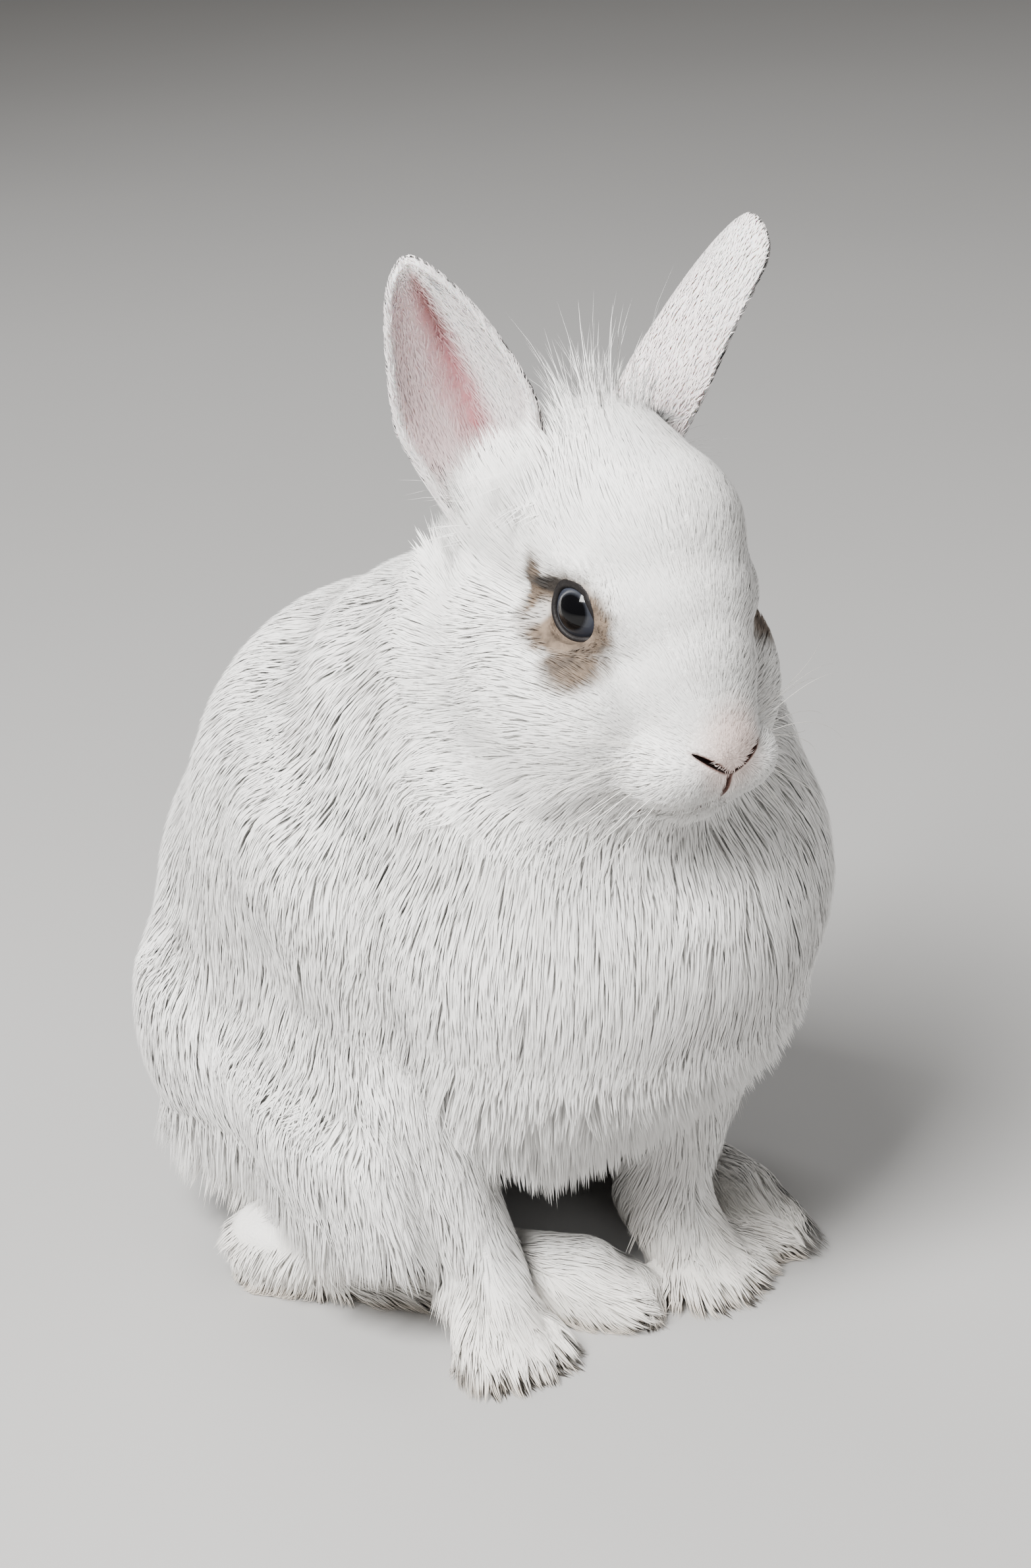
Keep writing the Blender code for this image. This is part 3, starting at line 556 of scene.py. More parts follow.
def carve_face(skin):
    """Opens the nostrils, the cleft, the mouth and the sockets in the skin."""
    for place, turn, radii in face_cuts():
        combine(skin, ball_object("cut", place, radii, turn, 36), "DIFFERENCE")
    for side in SIDES:
        frame_of_eye = eye_axes(side)
        turn = frame_of_eye.to_3x3().to_4x4()
        opening = (EYE_SLIT_LENGTH / 2 + 0.0006, EYE_SLIT_HEIGHT / 2 + 0.0006, EYE_RADIUS * 1.4)
        place = frame_of_eye @ Vector((0, 0, EYE_RADIUS))
        combine(skin, ball_object("window", place, opening, turn), "DIFFERENCE")


def lid_ring(side):
    """The rims of both lids: one closed almond that lies on the eyeball."""
    frame_of_eye = eye_axes(side)
    curve = bpy.data.curves.new("lid", "CURVE")
    curve.dimensions = "3D"
    curve.bevel_depth = 1.0
    curve.bevel_resolution = 3
    steps = 56
    spline = curve.splines.new("POLY")
    spline.points.add(steps - 1)
    spline.use_cyclic_u = True
    for step in range(steps):
        angle = step / steps * math.tau
        along, across = eye_edge(angle, 0.0002)
        reach = EYE_RADIUS + 0.00045
        out = math.sqrt(reach ** 2 - along ** 2 - across ** 2)
        spline.points[step].co = (*(frame_of_eye @ Vector((along, across, out))), 1)
        spline.points[step].radius = 0.00072 + 0.00060 * max(0.0, math.sin(angle - 0.35))
    source = bpy.data.objects.new("lid", curve)
    bpy.context.scene.collection.objects.link(source)
    bpy.context.view_layer.update()
    graph = bpy.context.evaluated_depsgraph_get()
    mesh = bpy.data.meshes.new_from_object(source.evaluated_get(graph))
    bpy.data.objects.remove(source)
    bpy.data.curves.remove(curve)
    bm = bmesh.new()
    bm.from_mesh(mesh)
    bpy.data.meshes.remove(mesh)
    bmesh.ops.remove_doubles(bm, verts=bm.verts[:], dist=0.00001)
    bmesh.ops.recalc_face_normals(bm, faces=bm.faces[:])
    return new_object("lids_" + side, bm)


def make_eye(side):
    """The eyeball, with the cornea standing a little proud of it."""
    frame_of_eye = eye_axes(side)
    bm = bmesh.new()
    bmesh.ops.create_uvsphere(bm, u_segments=64, v_segments=44, radius=EYE_RADIUS)
    for vertex in bm.verts:
        ahead = vertex.co.normalized().z
        bulge = max(0.0, (ahead - math.cos(math.radians(46))) / 0.305)
        vertex.co *= 1 + 0.035 * bulge ** 1.3
        vertex.co = frame_of_eye @ vertex.co
    return new_object("eyeball_" + side, bm)


# The unwrap that the coat's own map takes its places from.


def unwrap(obj):
    """Unwraps a mesh into flat islands by its own shape."""
    bpy.ops.object.select_all(action="DESELECT")
    obj.select_set(True)
    bpy.context.view_layer.objects.active = obj
    bpy.ops.object.mode_set(mode="EDIT")
    bpy.ops.mesh.select_all(action="SELECT")
    bpy.ops.uv.smart_project(angle_limit=math.radians(66), island_margin=0.002)
    bpy.ops.object.mode_set(mode="OBJECT")
    obj.data.uv_layers[0].name = "OFBake"


class Ground:
    """The skin that a coat grows on: its triangles, normals, unwrap and nearest points."""

    def __init__(self, obj):
        mesh = obj.data
        mesh.calc_loop_triangles()
        self.points = points_of(mesh)
        self.normals = normals_of(mesh)
        count = len(mesh.loop_triangles)
        corners = np.empty(count * 3, np.int32)
        mesh.loop_triangles.foreach_get("vertices", corners)
        loops = np.empty(count * 3, np.int32)
        mesh.loop_triangles.foreach_get("loops", loops)
        chart = np.empty(len(mesh.loops) * 2)
        mesh.uv_layers["OFBake"].data.foreach_get("uv", chart)
        self.corners = corners.reshape(-1, 3)
        self.chart = chart.reshape(-1, 2)[loops].reshape(-1, 3, 2)
        self.tree = BVHTree.FromPolygons(self.points.tolist(), self.corners.tolist())
        first, second, third = (self.points[self.corners[:, i]] for i in range(3))
        self.areas = np.linalg.norm(np.cross(second - first, third - first), axis=1) / 2
        self.middles = (first + second + third) / 3

    def sow(self, density, chance):
        """Random roots, as many to each square metre as the density says at each triangle."""
        wanted = self.areas * density
        order = np.cumsum(wanted)
        count = int(order[-1])
        picked = np.searchsorted(order, chance.random(count) * order[-1])
        u, v = chance.random(count), chance.random(count)
        flip = u + v > 1
        u[flip], v[flip] = 1 - u[flip], 1 - v[flip]
        shares = np.stack([1 - u - v, u, v], axis=1)
        corner = self.corners[picked]
        roots = np.einsum("ij,ijk->ik", shares, self.points[corner])
        normals = unit(np.einsum("ij,ijk->ik", shares, self.normals[corner]))
        chart = np.einsum("ij,ijk->ik", shares, self.chart[picked])
        return roots, normals, chart

    def raised(self, points, heights):
        """The points brought to the given heights over the nearest skin, and its normals there."""
        places, ways = np.empty_like(points), np.empty_like(points)
        for index, point in enumerate(points):
            place, way, _, _ = self.tree.find_nearest(point)
            places[index], ways[index] = place, way
        return places + ways * heights[:, None], ways


# The coat. A tuft is a closed blade with a flat underside, which tapers from root to tip.


def lie_of(points, normals):
    """The way that the hair lies at the points, along the skin."""
    part = regions(points)
    count = len(points)
    top = ramp(normals[:, 2], 0.35, 0.95)
    lie = mixed(np.tile((0.0, 0.30, -1.0), (count, 1)), np.tile((0.0, 1.0, -0.2), (count, 1)), top)
    fan = (points[:, 0:1] - CHEST.x + 0.006) * 7.0
    down = np.concatenate([fan, np.full((count, 1), -0.05), np.full((count, 1), -1.0)], axis=1)
    lie = mixed(lie, down, part["chest"] * (1 - top))
    for side in SIDES:
        thigh = near_line(points, KNEES[side], HIPS + Vector((SIDES[side] * 0.05, 0, 0)), 0.03, 0.02)
        lie = mixed(lie, np.tile((0.0, -0.12, -1.0), (count, 1)), thigh * (1 - top))
    lie = mixed(lie, np.tile((0.0, 0.35, 1.0), (count, 1)), part["tail"])
    snout = np.array(on_head(0, 0.032, -0.032))
    away = unit(points - snout)
    away[:, 2] += 0.9 * part["crown"]
    away[:, 2] -= 0.35 * part["cheek"]
    away = unit(away)
    lie = mixed(lie, away, part["head"])
    for side in SIDES:
        gap = points - np.array(EYES[side])
        close = ramp(np.linalg.norm(gap, axis=1), 0.0150, 0.0085)
        lie = mixed(lie, unit(gap) + away * 0.6, close)
        root, axis, length, _, _ = ear_frame(side)
        ruff = near_line(points, root, root + axis * length * 0.5, 0.0160, 0.0080)
        along = np.clip((points - np.array(root)) @ np.array(axis), 0, length)
        inwards = unit(np.array(root) + along[:, None] * np.array(axis) - points)
        lie = mixed(lie, np.array(axis) + inwards * 0.25, ruff)
        toes, ahead = toe_places(side, True)
        heel = HIND_HEELS[side]
        foot = near_line(points, heel, toes[1], 0.016, 0.004) * part["foot"]
        ahead_rows = np.tile(np.array(ahead) + np.array((0, 0, -0.35)), (count, 1))
        lie = mixed(lie, ahead_rows, foot)
        back = np.tile((0.0, 0.45, -1.0), (count, 1))
        lie = mixed(lie, back, near(points, heel + Vector((0, 0.002, 0.012)), 0.015, 0.010))
        toes, ahead = toe_places(side, False)
        foot = near_line(points, FOREPAWS[side], toes[1], 0.020, 0.004) * part["foot"]
        outwards = unit((points - np.array(FOREPAWS[side])) * np.array((1, 1, 0)))
        ahead_rows = np.array(ahead) * 0.45 + outwards * 0.45 + np.array((0, 0, -0.75))
        lie = mixed(lie, ahead_rows, foot)
    flat = lie - normals * np.sum(lie * normals, axis=1)[:, None]
    return unit(flat), unit(lie)


def coat_form(points, normals):
    """The coat's length, width, height and clumping at the points, and how far it hangs."""
    part = regions(points)
    form = {
        "length": np.full(len(points), 0.0135),
        "width": np.full(len(points), 0.00058),
        "height": coat_depth(points),
        "clump": np.full(len(points), 0.18),
    }
    changes = (
        ("chest", 0.0175, 0.00056, 0.26),
        ("fringe", 0.0150, 0.00046, 0.34),
        ("rump", 0.0200, 0.00050, 0.35),
        ("head", 0.0075, 0.00034, 0.22),
        ("cheek", 0.0115, 0.00034, 0.26),
        ("nape", 0.0120, 0.00042, 0.20),
        ("crown", 0.0120, 0.00030, 0.25),
        ("face", 0.0036, 0.00026, 0.15),
        ("ruff", 0.0115, 0.00032, 0.22),
        ("muzzle", 0.0020, 0.00020, 0.08),
        ("leg", 0.0095, 0.00044, 0.28),
        ("foot", 0.0095, 0.00040, 0.34),
        ("tail", 0.0100, 0.00044, 0.35),
    )
    for region, length, width, clump in changes:
        form["length"] = mixed(form["length"], length, part[region])
        form["width"] = mixed(form["width"], width, part[region])
        form["clump"] = mixed(form["clump"], clump, part[region])
    hang = ramp(normals[:, 2], -0.15, -0.65) * (1 - part["foot"])
    for side in SIDES:
        gap = np.linalg.norm(points - np.array(EYES[side]), axis=1)
        form["length"] = np.minimum(form["length"], 0.0014 + np.maximum(gap - 0.0095, 0) * 0.8)
        root, axis, length, facing, _ = ear_frame(side)
        before = ramp((points - np.array(root)) @ np.array(facing), -0.002, 0.007) * part["ruff"]
        form["length"] = mixed(form["length"], EAR_FRONT_HAIR[side], before)
        hang = np.maximum(hang, before * EAR_FRONT_LIFT[side])
    under = ramp(normals[:, 2], -0.10, -0.60) * part["chest"]
    form["length"] = form["length"] * (1 - 0.62 * under)
    hang = np.maximum(hang, part["fringe"] * 0.85)
    hang = np.maximum(hang, part["ruff"] * 0.35)
    hang = np.maximum(hang, part["crown"] * 0.45)
    hang = np.maximum(hang, part["rump"])
    hang = np.maximum(hang, part["foot"] * ramp(points[:, 2], 0.014, 0.004) * 0.8)
    form["hang"] = hang * (1 - part["face"])
    return form


def coat_density(points):
    """Tufts to the square metre at the points."""
    part = regions(points)
    density = np.full(len(points), 0.90e6)
    density = mixed(density, 1.95e6, part["head"])
    density = mixed(density, 1.4e6, part["nape"])
    density = mixed(density, 2.9e6, part["ruff"])
    density = mixed(density, 3.6e6, part["face"])
    density = mixed(density, 6.0e6, part["muzzle"])
    density = mixed(density, 0.83e6, part["leg"])
    density = mixed(density, 1.35e6, part["foot"])
    density = mixed(density, 1.1e6, part["tail"])
    return density * ramp(points[:, 2], 0.0006, 0.0016)


def bare(points):
    """Where no hair grows: within the eye slits, the nostrils and the cleft."""
    inside = np.zeros(len(points), bool)
    openings = face_cuts()[:3]
    for side in SIDES:
        frame_of_eye = eye_axes(side)
        radii = (EYE_SLIT_LENGTH / 2 + 0.0009, EYE_SLIT_HEIGHT / 2 + 0.0009, EYE_RADIUS * 1.4)
        place = frame_of_eye @ Vector((0, 0, EYE_RADIUS))
        openings.append((place, frame_of_eye.to_3x3().to_4x4(), radii))
    for place, turn, radii in openings:
        local = (points - np.array(place)) @ np.array(turn.to_3x3())
        local = local / (np.array(radii) + 0.00045)
        inside |= np.sum(local * local, axis=1) < 1
    return inside


def drift(points, scale, strength):
    """A slow random change of direction over the body."""
    rows = [noise.noise_vector(Vector(point) * scale) for point in points]
    return np.array(rows) * strength


def comb_tufts(ground, roots, normals, form, chance):
    """The stations of each tuft, from its sunk root to its tip, along the lie of the coat."""
    count = len(roots)
    flat, free = lie_of(roots, normals)
    sway = drift(roots, 42.0, 0.26) + drift(roots, 210.0, 0.09) + chance.normal(0, 0.05, (count, 3))
    flat = unit(flat + sway - normals * np.sum(sway * normals, axis=1)[:, None])
    free = unit(free + sway)
    length = form["length"] * chance.uniform(0.62, 1.25, count)
    height = form["height"] * chance.uniform(0.84, 1.10, count)
    hang = form["hang"][:, None]
    way = flat * (1 - hang) + (free + normals * 0.30) * hang
    stations = [roots - normals * 0.0003]
    for share, rise in ((0.58, 0.66), (1.0, 0.98)):
        ahead = roots + unit(way) * (length * share)[:, None]
        laid, _ = ground.raised(ahead, height * rise)
        stations.append(laid + (ahead + normals * (height * rise)[:, None] - laid) * hang)
    gather(stations, roots, form["clump"], chance)
    for station in stations:
        station[:, 2] = np.maximum(station[:, 2], 0.0004)
    return stations


def gather(stations, roots, clump, chance):
    """Draws neighbouring tips together, so that the coat parts into soft clumps."""
    count = len(roots)
    leaders = chance.choice(count, max(1, count // 26), replace=False)
    tree = KDTree(len(leaders))
    for place, leader in enumerate(leaders):
        tree.insert(roots[leader], int(leader))
    tree.balance()
    leader_of = np.array([tree.find(root)[1] for root in roots])
    for station, pull in ((1, 0.45), (2, 1.0)):
        share = (clump * pull)[:, None]
        stations[station] += (stations[station][leader_of] - stations[station]) * share


def blades(name, stations, normals, widths, chart, taper=(0.9, 0.8)):
    """One mesh of closed blades through the stations, with each blade's patch of the map.

    A blade takes most of its shading from the skin under it, which makes the coat look soft.
    """
    count = len(widths)
    lifted = normals.copy()
    lifted[:, 2] = np.maximum(lifted[:, 2], -0.15)
    rings, shading, under = [], [], []
    for index, share in enumerate(taper):
        ahead = unit(stations[index + 1] - stations[index])
        side = unit(np.cross(ahead, normals))
        up = np.cross(side, ahead)
        half = (widths * share / 2)[:, None]
        centre = stations[index]
        rings += [centre - side * half, centre + side * half, centre + up * half * 0.45]
        soft = unit(lifted * 0.75 + up * 0.25)
        shading += [unit(soft - side * 0.28), unit(soft + side * 0.28), soft]
        under += [unit(-soft - side * 0.28), unit(-soft + side * 0.28), -soft]
    rings.append(stations[-1])
    shading.append(shading[-1])
    under.append(under[-1])
    per = len(rings)
    points = np.stack(rings, axis=1).reshape(-1, 3)
    shape = [(0, 1, 2)]
    for ring in range(len(taper) - 1):
        for corner in range(3):
            low, high = ring * 3 + corner, ring * 3 + (corner + 1) % 3
            shape.append((low, low + 3, high + 3, high))
    last = (len(taper) - 1) * 3
    shape += [(last + (corner + 1) % 3, last + corner, per - 1) for corner in range(3)]
    sizes = np.array([len(face) for face in shape])
    flat = np.concatenate([np.array(face) for face in shape])
    below = np.repeat([not any(point % 3 == 2 for point in face if point < per - 1) for face in shape], sizes)
    loops = (flat[None, :] + np.arange(count)[:, None] * per).ravel()
    totals = np.tile(sizes, count)
    starts = np.concatenate([[0], np.cumsum(totals)[:-1]])
    mesh = bpy.data.meshes.new(name)
    mesh.vertices.add(len(points))
    mesh.vertices.foreach_set("co", points.ravel())
    mesh.loops.add(len(loops))
    mesh.loops.foreach_set("vertex_index", loops.astype(np.int32))
    mesh.polygons.add(len(totals))
    mesh.polygons.foreach_set("loop_start", starts.astype(np.int32))
    mesh.update(calc_edges=True)
    shading, under = np.stack(shading, axis=1)[:, flat], np.stack(under, axis=1)[:, flat]
    corners = np.where(below[None, :, None], under, shading).astype(np.float32)
    mesh.attributes.new("custom_normal", "FLOAT_VECTOR", "CORNER").data.foreach_set("vector", corners.ravel())
    spots = np.zeros((per, 2))
    for index in range(per):
        angle = (index % 3) / 3 * math.tau + 0.3
        reach = 0.0015 * (1 - 0.2 * (index // 3))
        spots[index] = (math.cos(angle) * reach, math.sin(angle) * reach)
    layer = mesh.uv_layers.new(name="OFBake")
    places = chart[:, None, :] + spots[flat][None, :, :]
    layer.data.foreach_set("uv", places.ravel())
    return new_object(name, mesh)


def regions_of_coat(roots, normals):
    """A name for the stretch of coat that each root belongs to."""
    part = regions(roots)
    names = np.full(len(roots), "flank_left", dtype=object)
    names[normals[:, 0] < 0] = "flank_right"
    names[(normals[:, 2] > 0.55) | (roots[:, 1] > HIPS.y + 0.03)] = "back"
    names[part["chest"] > 0.5] = "chest"
    names[(part["leg"] > 0.5) | (part["foot"] > 0.5)] = "legs"
    names[part["tail"] > 0.5] = "tail"
    names[part["head"] > 0.5] = "head"
    return names


def grow_coat(skin, chance):
    """The body's coat, in pieces for its stretches."""
    ground = Ground(skin)
    roots, normals, chart = ground.sow(coat_density(ground.middles), chance)
    kept = ~bare(roots)
    roots, normals, chart = roots[kept], normals[kept], chart[kept]
    form = coat_form(roots, normals)
    stations = comb_tufts(ground, roots, normals, form, chance)
    widths = form["width"] * chance.uniform(0.7, 1.25, len(roots))
    names = regions_of_coat(roots, normals)
    pieces = []
    for name in sorted(set(names)):
        chosen = np.nonzero(names == name)[0]
        parts = math.ceil(len(chosen) * BLADE_TRIANGLES / PIECE_TRIANGLES)
        for index, rows in enumerate(np.array_split(chosen, parts)):
            title = "fur_" + name + ("_" + str(index + 1) if parts > 1 else "")
            cut = [station[rows] for station in stations]
            pieces.append(blades(title, cut, normals[rows], widths[rows], chart[rows]))
    return pieces, ground


def wisps(name, ground, clusters, chance):
    """Long single hairs in loose clusters, each rooted near a place and led to a far tip."""
    roots, tips, bends, lengths = [], [], [], []
    for place, tip, count, spread, bow in clusters:
        for _ in range(count):
            root = Vector(place) + Vector(chance.normal(0, spread, 3).tolist())
            roots.append(root)
            reach = chance.uniform(0.45, 1.05)
            aim = Vector(tip) - Vector(place)
            stray = Vector(chance.normal(0, aim.length * 0.11, 3).tolist())
            tips.append(root + aim * reach + stray * reach)
            bends.append(Vector(bow) * reach)
            lengths.append(aim.length * reach)
    roots = np.array(roots)
    surface, normals = ground.raised(roots, np.full(len(roots), -0.0005))
    tips, bends = np.array(tips), np.array(bends)
    run = tips - roots
    stations = [surface]
    for share in (0.38, 0.72, 1.0):
        arc = 4 * share * (1 - share)
        stations.append(surface + run * share + bends * arc)
    widths = chance.uniform(0.00013, 0.00024, len(roots))
    nearest = [ground.tree.find_nearest(place)[2] for place in surface]
    chart = ground.chart[nearest].mean(axis=1)
    return blades(name, stations, normals, widths, chart, (1.0, 0.9, 0.6))


def wisp_clusters():
    """The forelock between the ears, tufts at the ears' roots, and the beard of the jaw."""
    clusters = []
    forelock = (
        (-0.013, 0.014, -0.012, 0.003, 0.019, 16), (-0.010, 0.012, -0.016, 0.004, 0.015, 10),
        (-0.008, 0.015, -0.007, 0.002, 0.014, 22), (-0.005, 0.013, -0.010, 0.001, 0.022, 6),
        (-0.004, 0.016, -0.003, -0.001, 0.018, 24), (-0.001, 0.014, -0.002, 0.002, 0.013, 24),
        (0.001, 0.017, 0.003, 0.003, 0.022, 8), (0.003, 0.014, 0.004, 0.000, 0.015, 22),
        (0.006, 0.016, 0.007, -0.002, 0.019, 16), (0.008, 0.013, 0.012, 0.002, 0.016, 14),
        (0.011, 0.017, 0.012, 0.003, 0.013, 20), (-0.004, 0.022, -0.005, 0.007, 0.014, 22),
        (0.004, 0.023, 0.006, 0.008, 0.013, 22), (0.013, 0.018, 0.020, -0.001, 0.016, 6),
        (-0.010, 0.014, -0.020, 0.004, 0.024, 5), (-0.002, 0.015, -0.003, 0.003, 0.026, 6),
        (0.005, 0.016, 0.009, 0.002, 0.026, 6), (-0.006, 0.013, -0.013, 0.002, 0.029, 4),
    )
    for side, back, lean, sweep, height, count in forelock:
        place = on_head(side, -back, 0.034)
        tip = on_head(side + lean * 0.7, -back - sweep, 0.036 + height)
        bow = head_way(-lean * 20, -0.2, 0.2) * 0.0020
        clusters.append((place, tip, count, 0.0017, bow))
    for sign in SIDES.values():
        for root, tip, count in (
            ((0.029, -0.034, 0.020), (0.046, -0.036, 0.024), 14),
            ((0.030, -0.030, 0.013), (0.044, -0.034, 0.012), 14),
            ((0.025, -0.016, 0.021), (0.036, -0.018, 0.017), 18),
            ((0.026, -0.022, 0.030), (0.050, -0.021, 0.030), 16),
        ):
            root, tip = (on_head(sign * at[0], at[1], at[2]) for at in (root, tip))
            clusters.append((root, tip, count, 0.0020, (0, 0, 0.001)))
        for step in range(9):
            ahead = 0.008 - step * 0.0045
            root = on_head(sign * (0.0075 + step * 0.0022), ahead, -0.0440 - 0.0003 * step)
            tip = on_head(sign * (0.0100 + step * 0.0030), ahead - 0.0050, -0.0580)
            clusters.append((root, tip, 9, 0.0016, (0, 0, -0.0010)))
    return clusters


def make_tubes(name, paths, widths):
    """Thin tapering tubes along paths of points, as one mesh: the whiskers."""
    sides = 5
    bm = bmesh.new()
    for path, width in zip(paths, widths):
        rings = []
        for index, place in enumerate(path[:-1]):
            ahead = (path[index + 1] - place).normalized()
            side = ahead.orthogonal().normalized()
            up = ahead.cross(side)
            half = width / 2 * (1 - index / (len(path) - 1)) ** 0.7
            ring = []
            for corner in range(sides):
                angle = corner / sides * math.tau
                ring.append(bm.verts.new(place + (side * math.cos(angle) + up * math.sin(angle)) * half))
            rings.append(ring)
        tip = bm.verts.new(path[-1])
        for lower, upper in zip(rings, rings[1:]):
            for corner in range(sides):
                after = (corner + 1) % sides
                bm.faces.new((lower[corner], lower[after], upper[after], upper[corner]))
        for corner in range(sides):
            bm.faces.new((rings[-1][corner], rings[-1][(corner + 1) % sides], tip))
        bm.faces.new(rings[0][::-1])
    bmesh.ops.recalc_face_normals(bm, faces=bm.faces[:])
    return new_object(name, bm)


def make_whiskers(ground, chance):
    """The whiskers of the lips."""
    paths, widths = [], []
    for sign in SIDES.values():
        for row in range(4):
            for place in range(4):
                root = on_head(sign * (0.0120 + 0.0010 * place), 0.0170 - 0.0032 * place, -0.0270 - 0.0028 * row)
                surface, normal, _, _ = ground.tree.find_nearest(root)
                out = head_way(sign * 0.9, -0.25 - 0.12 * place, 0.20 - 0.30 * row + chance.normal(0, 0.10))
                length = 0.030 - 0.0032 * row + 0.003 * place + chance.normal(0, 0.003)
                paths.append(whisker_path(surface - normal * 0.0008, out, normal, length))
                widths.append(0.00020)
    return make_tubes("whiskers", paths, widths)


def whisker_path(root, out, normal, length, steps=9):
    """A hair that leaves the skin and sags slowly towards its tip."""
    path = []
    for step in range(steps + 1):
        share = step / steps
        way = normal * 0.45 * (1 - share) + out
        path.append(root + way.normalized() * length * share + Vector((0, 0, -0.22)) * length * share ** 2)
    return path


def make_claws():
    """The small curved claws of all toes, mostly hidden in the fur."""
    bm = bmesh.new()
    for side in SIDES:
        for hind in (True, False):
            places, ahead = toe_places(side, hind)
            for place in places:
                root = place + ahead * 0.0036 - Vector((0, 0, 0.0014))
                down = Vector((0, 0, -1))
                rings = []
                for step in range(5):
                    share = step / 5
                    centre = root + ahead * 0.0050 * share + down * 0.0022 * share ** 2
                    half = 0.00085 * (1 - share) ** 0.6
                    across = Vector((-ahead.y, ahead.x, 0))
                    rings.append([
                        bm.verts.new(centre + (across * math.cos(a) + down * math.sin(a) * 1.3) * half)
                        for a in (corner / 8 * math.tau for corner in range(8))
                    ])
                end = root + ahead * 0.0050 + down * 0.0022
                end.z = max(end.z, 0.0006)
                tip = bm.verts.new(end)
                for lower, upper in zip(rings, rings[1:]):
                    for corner in range(8):
                        after = (corner + 1) % 8
                        bm.faces.new((lower[corner], lower[after], upper[after], upper[corner]))
                for corner in range(8):
                    bm.faces.new((rings[-1][corner], rings[-1][(corner + 1) % 8], tip))
                bm.faces.new(rings[0][::-1])
    bmesh.ops.recalc_face_normals(bm, faces=bm.faces[:])
    return new_object("claws", bm)


# The ears.


def ear_frame(side):
    """An ear's root, axis, length, the way its cup faces and the way across it."""
    sign = SIDES[side]
    root = on_head(sign * EAR_ROOT[0], EAR_ROOT[1], EAR_ROOT[2])
    outwards, ahead, up = EAR_TIPS[side]
    tip = on_head(sign * outwards, ahead, up)
    axis = (tip - root).normalized()
    turn = HEAD_AXES.to_3x3() @ turn_of(sign * EAR_OPENINGS[side]).to_3x3()
    facing = turn @ Vector((0, -1, 0))
    facing = (facing - axis * facing.dot(axis)).normalized()
    across = axis.cross(facing)
    length = (tip - root).length + EAR_SUNK
    return root - axis * EAR_SUNK, axis, length, facing, across


def ear_point(side, share, offset):
    """A point of an ear's sheet: share is its height up the ear, offset goes from -1 to 1."""
    root, axis, length, facing, across = ear_frame(side)
    from_tip = 1 - share
    start, growth = EAR_SPREADS[side]
    spread = start + growth * min(from_tip, 0.50)
    half = EAR_HALF_WIDTH * spread * (1 - math.exp(-(from_tip / 0.032) ** 0.85)) + 0.0003
    curl = math.radians(50 + 82 * max(0.0, 1 - share * 1.15) ** 1.4)
    radius = half / curl
    angle = offset * curl
    spine = root + axis * (share * length) - facing * (0.004 * math.sin(share * math.pi))
    deep = -0.0022 * math.exp(-((offset * SIDES[side] - 0.06) / 0.13) ** 2) * math.sin(min(1, share * 1.1) * math.pi)
    bow = facing * (radius * (1 - math.cos(angle)) + deep)
    return spine + across * (radius * math.sin(angle)) + bow


def make_ear(side):
    """A thin cupped ear with a fold along it, from a fine sheet."""
    rows, columns = 54, 34
    bm = bmesh.new()
    grid = []
    for row in range(rows + 1):
        share = 1 - (1 - row / rows) ** 1.35
        grid.append([
            bm.verts.new(ear_point(side, share, column / columns * 2 - 1))
            for column in range(columns + 1)
        ])
    for lower, upper in zip(grid, grid[1:]):
        for column in range(columns):
            bm.faces.new((lower[column], lower[column + 1], upper[column + 1], upper[column]))
    bmesh.ops.recalc_face_normals(bm, faces=bm.faces[:])
    ear = new_object("ear_skin_" + side, bm)
    thick = ear.modifiers.new("Thickness", "SOLIDIFY")
    thick.thickness = EAR_THICKNESS
    thick.offset = 0.0
    settle(ear)
    round_off = ear.modifiers.new("Round", "SMOOTH")
    round_off.factor = 0.5
    round_off.iterations = 2
    settle(ear)
    bm = bmesh.new()
    bm.from_mesh(ear.data)
    bmesh.ops.recalc_face_normals(bm, faces=bm.faces[:])
    bm.to_mesh(ear.data)
    bm.free()
    ear.data.shade_smooth()
    tint_ear(ear, ear_tints(side, points_of(ear.data), normals_of(ear.data)))
    return ear


